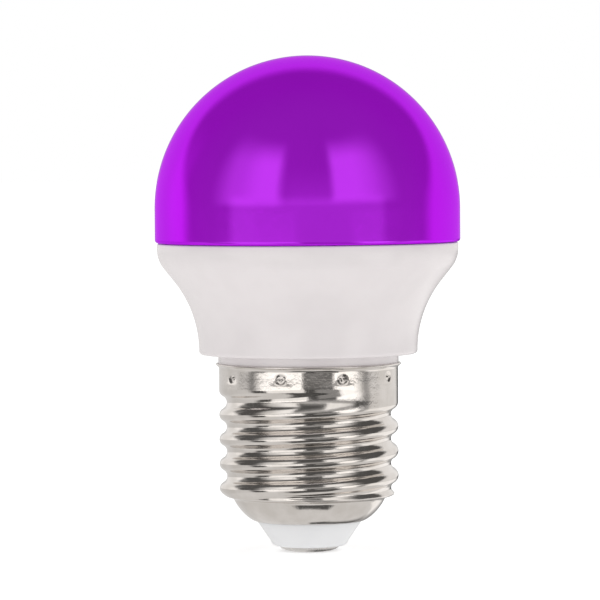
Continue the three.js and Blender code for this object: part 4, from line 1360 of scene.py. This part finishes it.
LEFT_END, RIGHT_END, BEHIND = (-200, -199), (166, 148), (200, 199)
NADIR, ZENITH = (-91, -90), (91, 90)
UP_FROM_CAP, DOWN_FROM_DOME = (-2.8, -2.4), (-2.4, -2.8)
reach = blend_range(sky, height, 0, 36, 103, 130)
beyond = math_node(sky, "SUBTRACT", turned_away, reach)
above_cap = blend_range(sky, height, *UP_FROM_CAP)
rising = math_node(sky, "MULTIPLY", blend_range(sky, beyond, -8, 8, 0.0, 0.88), above_cap)
surround = math_node(sky, "MULTIPLY", rising, blend_range(sky, turned_away, 158, 176, 1.0, 0.5))
panels = [
    # A white tent round the back and sides, which edges the dome.
    surround,
    softbox(0.20, (-136, -118), (-100, -112), UP_FROM_CAP, (38, 18)),
    # The windows that show in the dome, left and right, each with a brighter core.
    softbox(0.68, (-80, -56), (-15, -25), (0, 6), (54, 30)),
    softbox(0.40, (-58, -34), (-19, -26), (5, 11), (52, 34)),
    softbox(0.66, (15, 23), (78, 50), (2, 8), (56, 34)),
    softbox(0.38, (17, 24), (60, 36), (5, 11), (54, 36)),
    # Between and under them, the glow of the sweep, which lights the dome's skirt.
    softbox(0.20, (-24, -10), (26, 14), (2, 5), (34, 6)),
    softbox(0.36, (-64, -54), (64, 54), UP_FROM_CAP, (12, 4)),
    softbox(0.08, (-64, -56), (-36, -44), UP_FROM_CAP, (10, 3)),
    # Level with the cap: white left and right of a dark gap, and grey towards the sides.
    softbox(1.6, (-82, -58), (-6, -10), (-10, -7), DOWN_FROM_DOME),
    softbox(1.6, (30, 37), (84, 58), (-10, -7), DOWN_FROM_DOME),
    softbox(0.08, (-14, -8), (40, 34), (-10, -7), DOWN_FROM_DOME),
    softbox(0.80, (74, 90), RIGHT_END, (-32, -28), DOWN_FROM_DOME),
    softbox(0.64, LEFT_END, (-74, -88), (-32, -28), DOWN_FROM_DOME),
    # Below that the pale sweep again, and a black flag in front of it, right of the middle.
    softbox(1.1, (-62, -54), (-2, -8), (-32, -28), (-7, -10)),
    softbox(0.30, (-8, -2), (4, 12), (-32, -28), (-7, -10)),
    softbox(-0.09, (2, 10), (46, 38), (-40, -30), (-4, -8)),
    softbox(1.1, (38, 44), (74, 60), (-32, -28), (-7, -10)),
    # Under it a dark strip in front, and pale paper everywhere else.
    softbox(0.70, LEFT_END, (-22, -42), (-70, -64), (-28, -32)),
    softbox(0.70, (44, 58), RIGHT_END, (-70, -64), (-28, -32)),
    softbox(0.70, LEFT_END, BEHIND, NADIR, (-64, -70)),
    # What little light the dark of the room sends back.
    softbox(0.11, LEFT_END, BEHIND, NADIR, ZENITH),
]
total = panels[0]
for panel in panels[1:]:
    total = math_node(sky, "ADD", total, panel)

EVEN_LIGHT = 0.79
glossy = node(sky, "Background", {"Color": (1.0, 0.985, 0.97, 1), "Strength": total})
even = node(sky, "Background", {"Color": (1, 1, 1, 1), "Strength": EVEN_LIGHT})
white = node(sky, "Background", {"Color": (1, 1, 1, 1), "Strength": 1.0})
ray = node(sky, "LightPath")
lit = node(sky, "MixShader", {0: ray.outputs["Is Diffuse Ray"], 1: glossy.outputs[0], 2: even.outputs[0]})
seen = node(sky, "MixShader", {0: ray.outputs["Is Camera Ray"], 1: lit.outputs[0], 2: white.outputs[0]})
node(sky, "OutputWorld", {"Surface": seen.outputs[0]})

# Three faint area lights shape the white plastic. They are kept out of the reflections.
BULB_MIDDLE = Vector((0, 0, 0.037))
AREA_LIGHTS = {
    "left_softbox": {"place": (-0.9, -1.1, 0.7), "size": 1.0, "power": 1.2},
    "right_softbox": {"place": (0.9, -1.1, 0.7), "size": 1.0, "power": 1.0},
    "top_softbox": {"place": (0, 0.2, 1.6), "size": 1.6, "power": 1.5},
}
for name, light in AREA_LIGHTS.items():
    data = bpy.data.lights.new(name, "AREA")
    data.size = light["size"]
    data.energy = light["power"]
    lamp = add_object(name, data)
    lamp.location = light["place"]
    lamp.rotation_euler = (BULB_MIDDLE - lamp.location).to_track_quat("-Z", "Y").to_euler()
    lamp.visible_glossy = False
    lamp.visible_camera = False

# --------------------------------------------------------------- camera
# A long lens a little above the bulb's middle, looking almost
# level. It leans by a little over a third of a degree.

SENSOR = 36
FOCAL_LENGTH = 244.4
SHIFT = -0.0133
LEAN = -0.39
camera_data = bpy.data.cameras.new("camera")
camera_data.lens = FOCAL_LENGTH
camera_data.sensor_width = SENSOR
camera_data.shift_x = SHIFT
camera = add_object("camera", camera_data)
place = Vector((0, -0.6, 0.060))
look = (BULB_MIDDLE - place).to_track_quat("-Z", "Y").to_matrix().to_4x4()
camera.matrix_world = Matrix.Translation(place) @ look @ Matrix.Rotation(math.radians(LEAN), 4, "Z")
bpy.context.scene.camera = camera
bpy.context.scene.view_settings.view_transform = "Standard"

low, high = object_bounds()
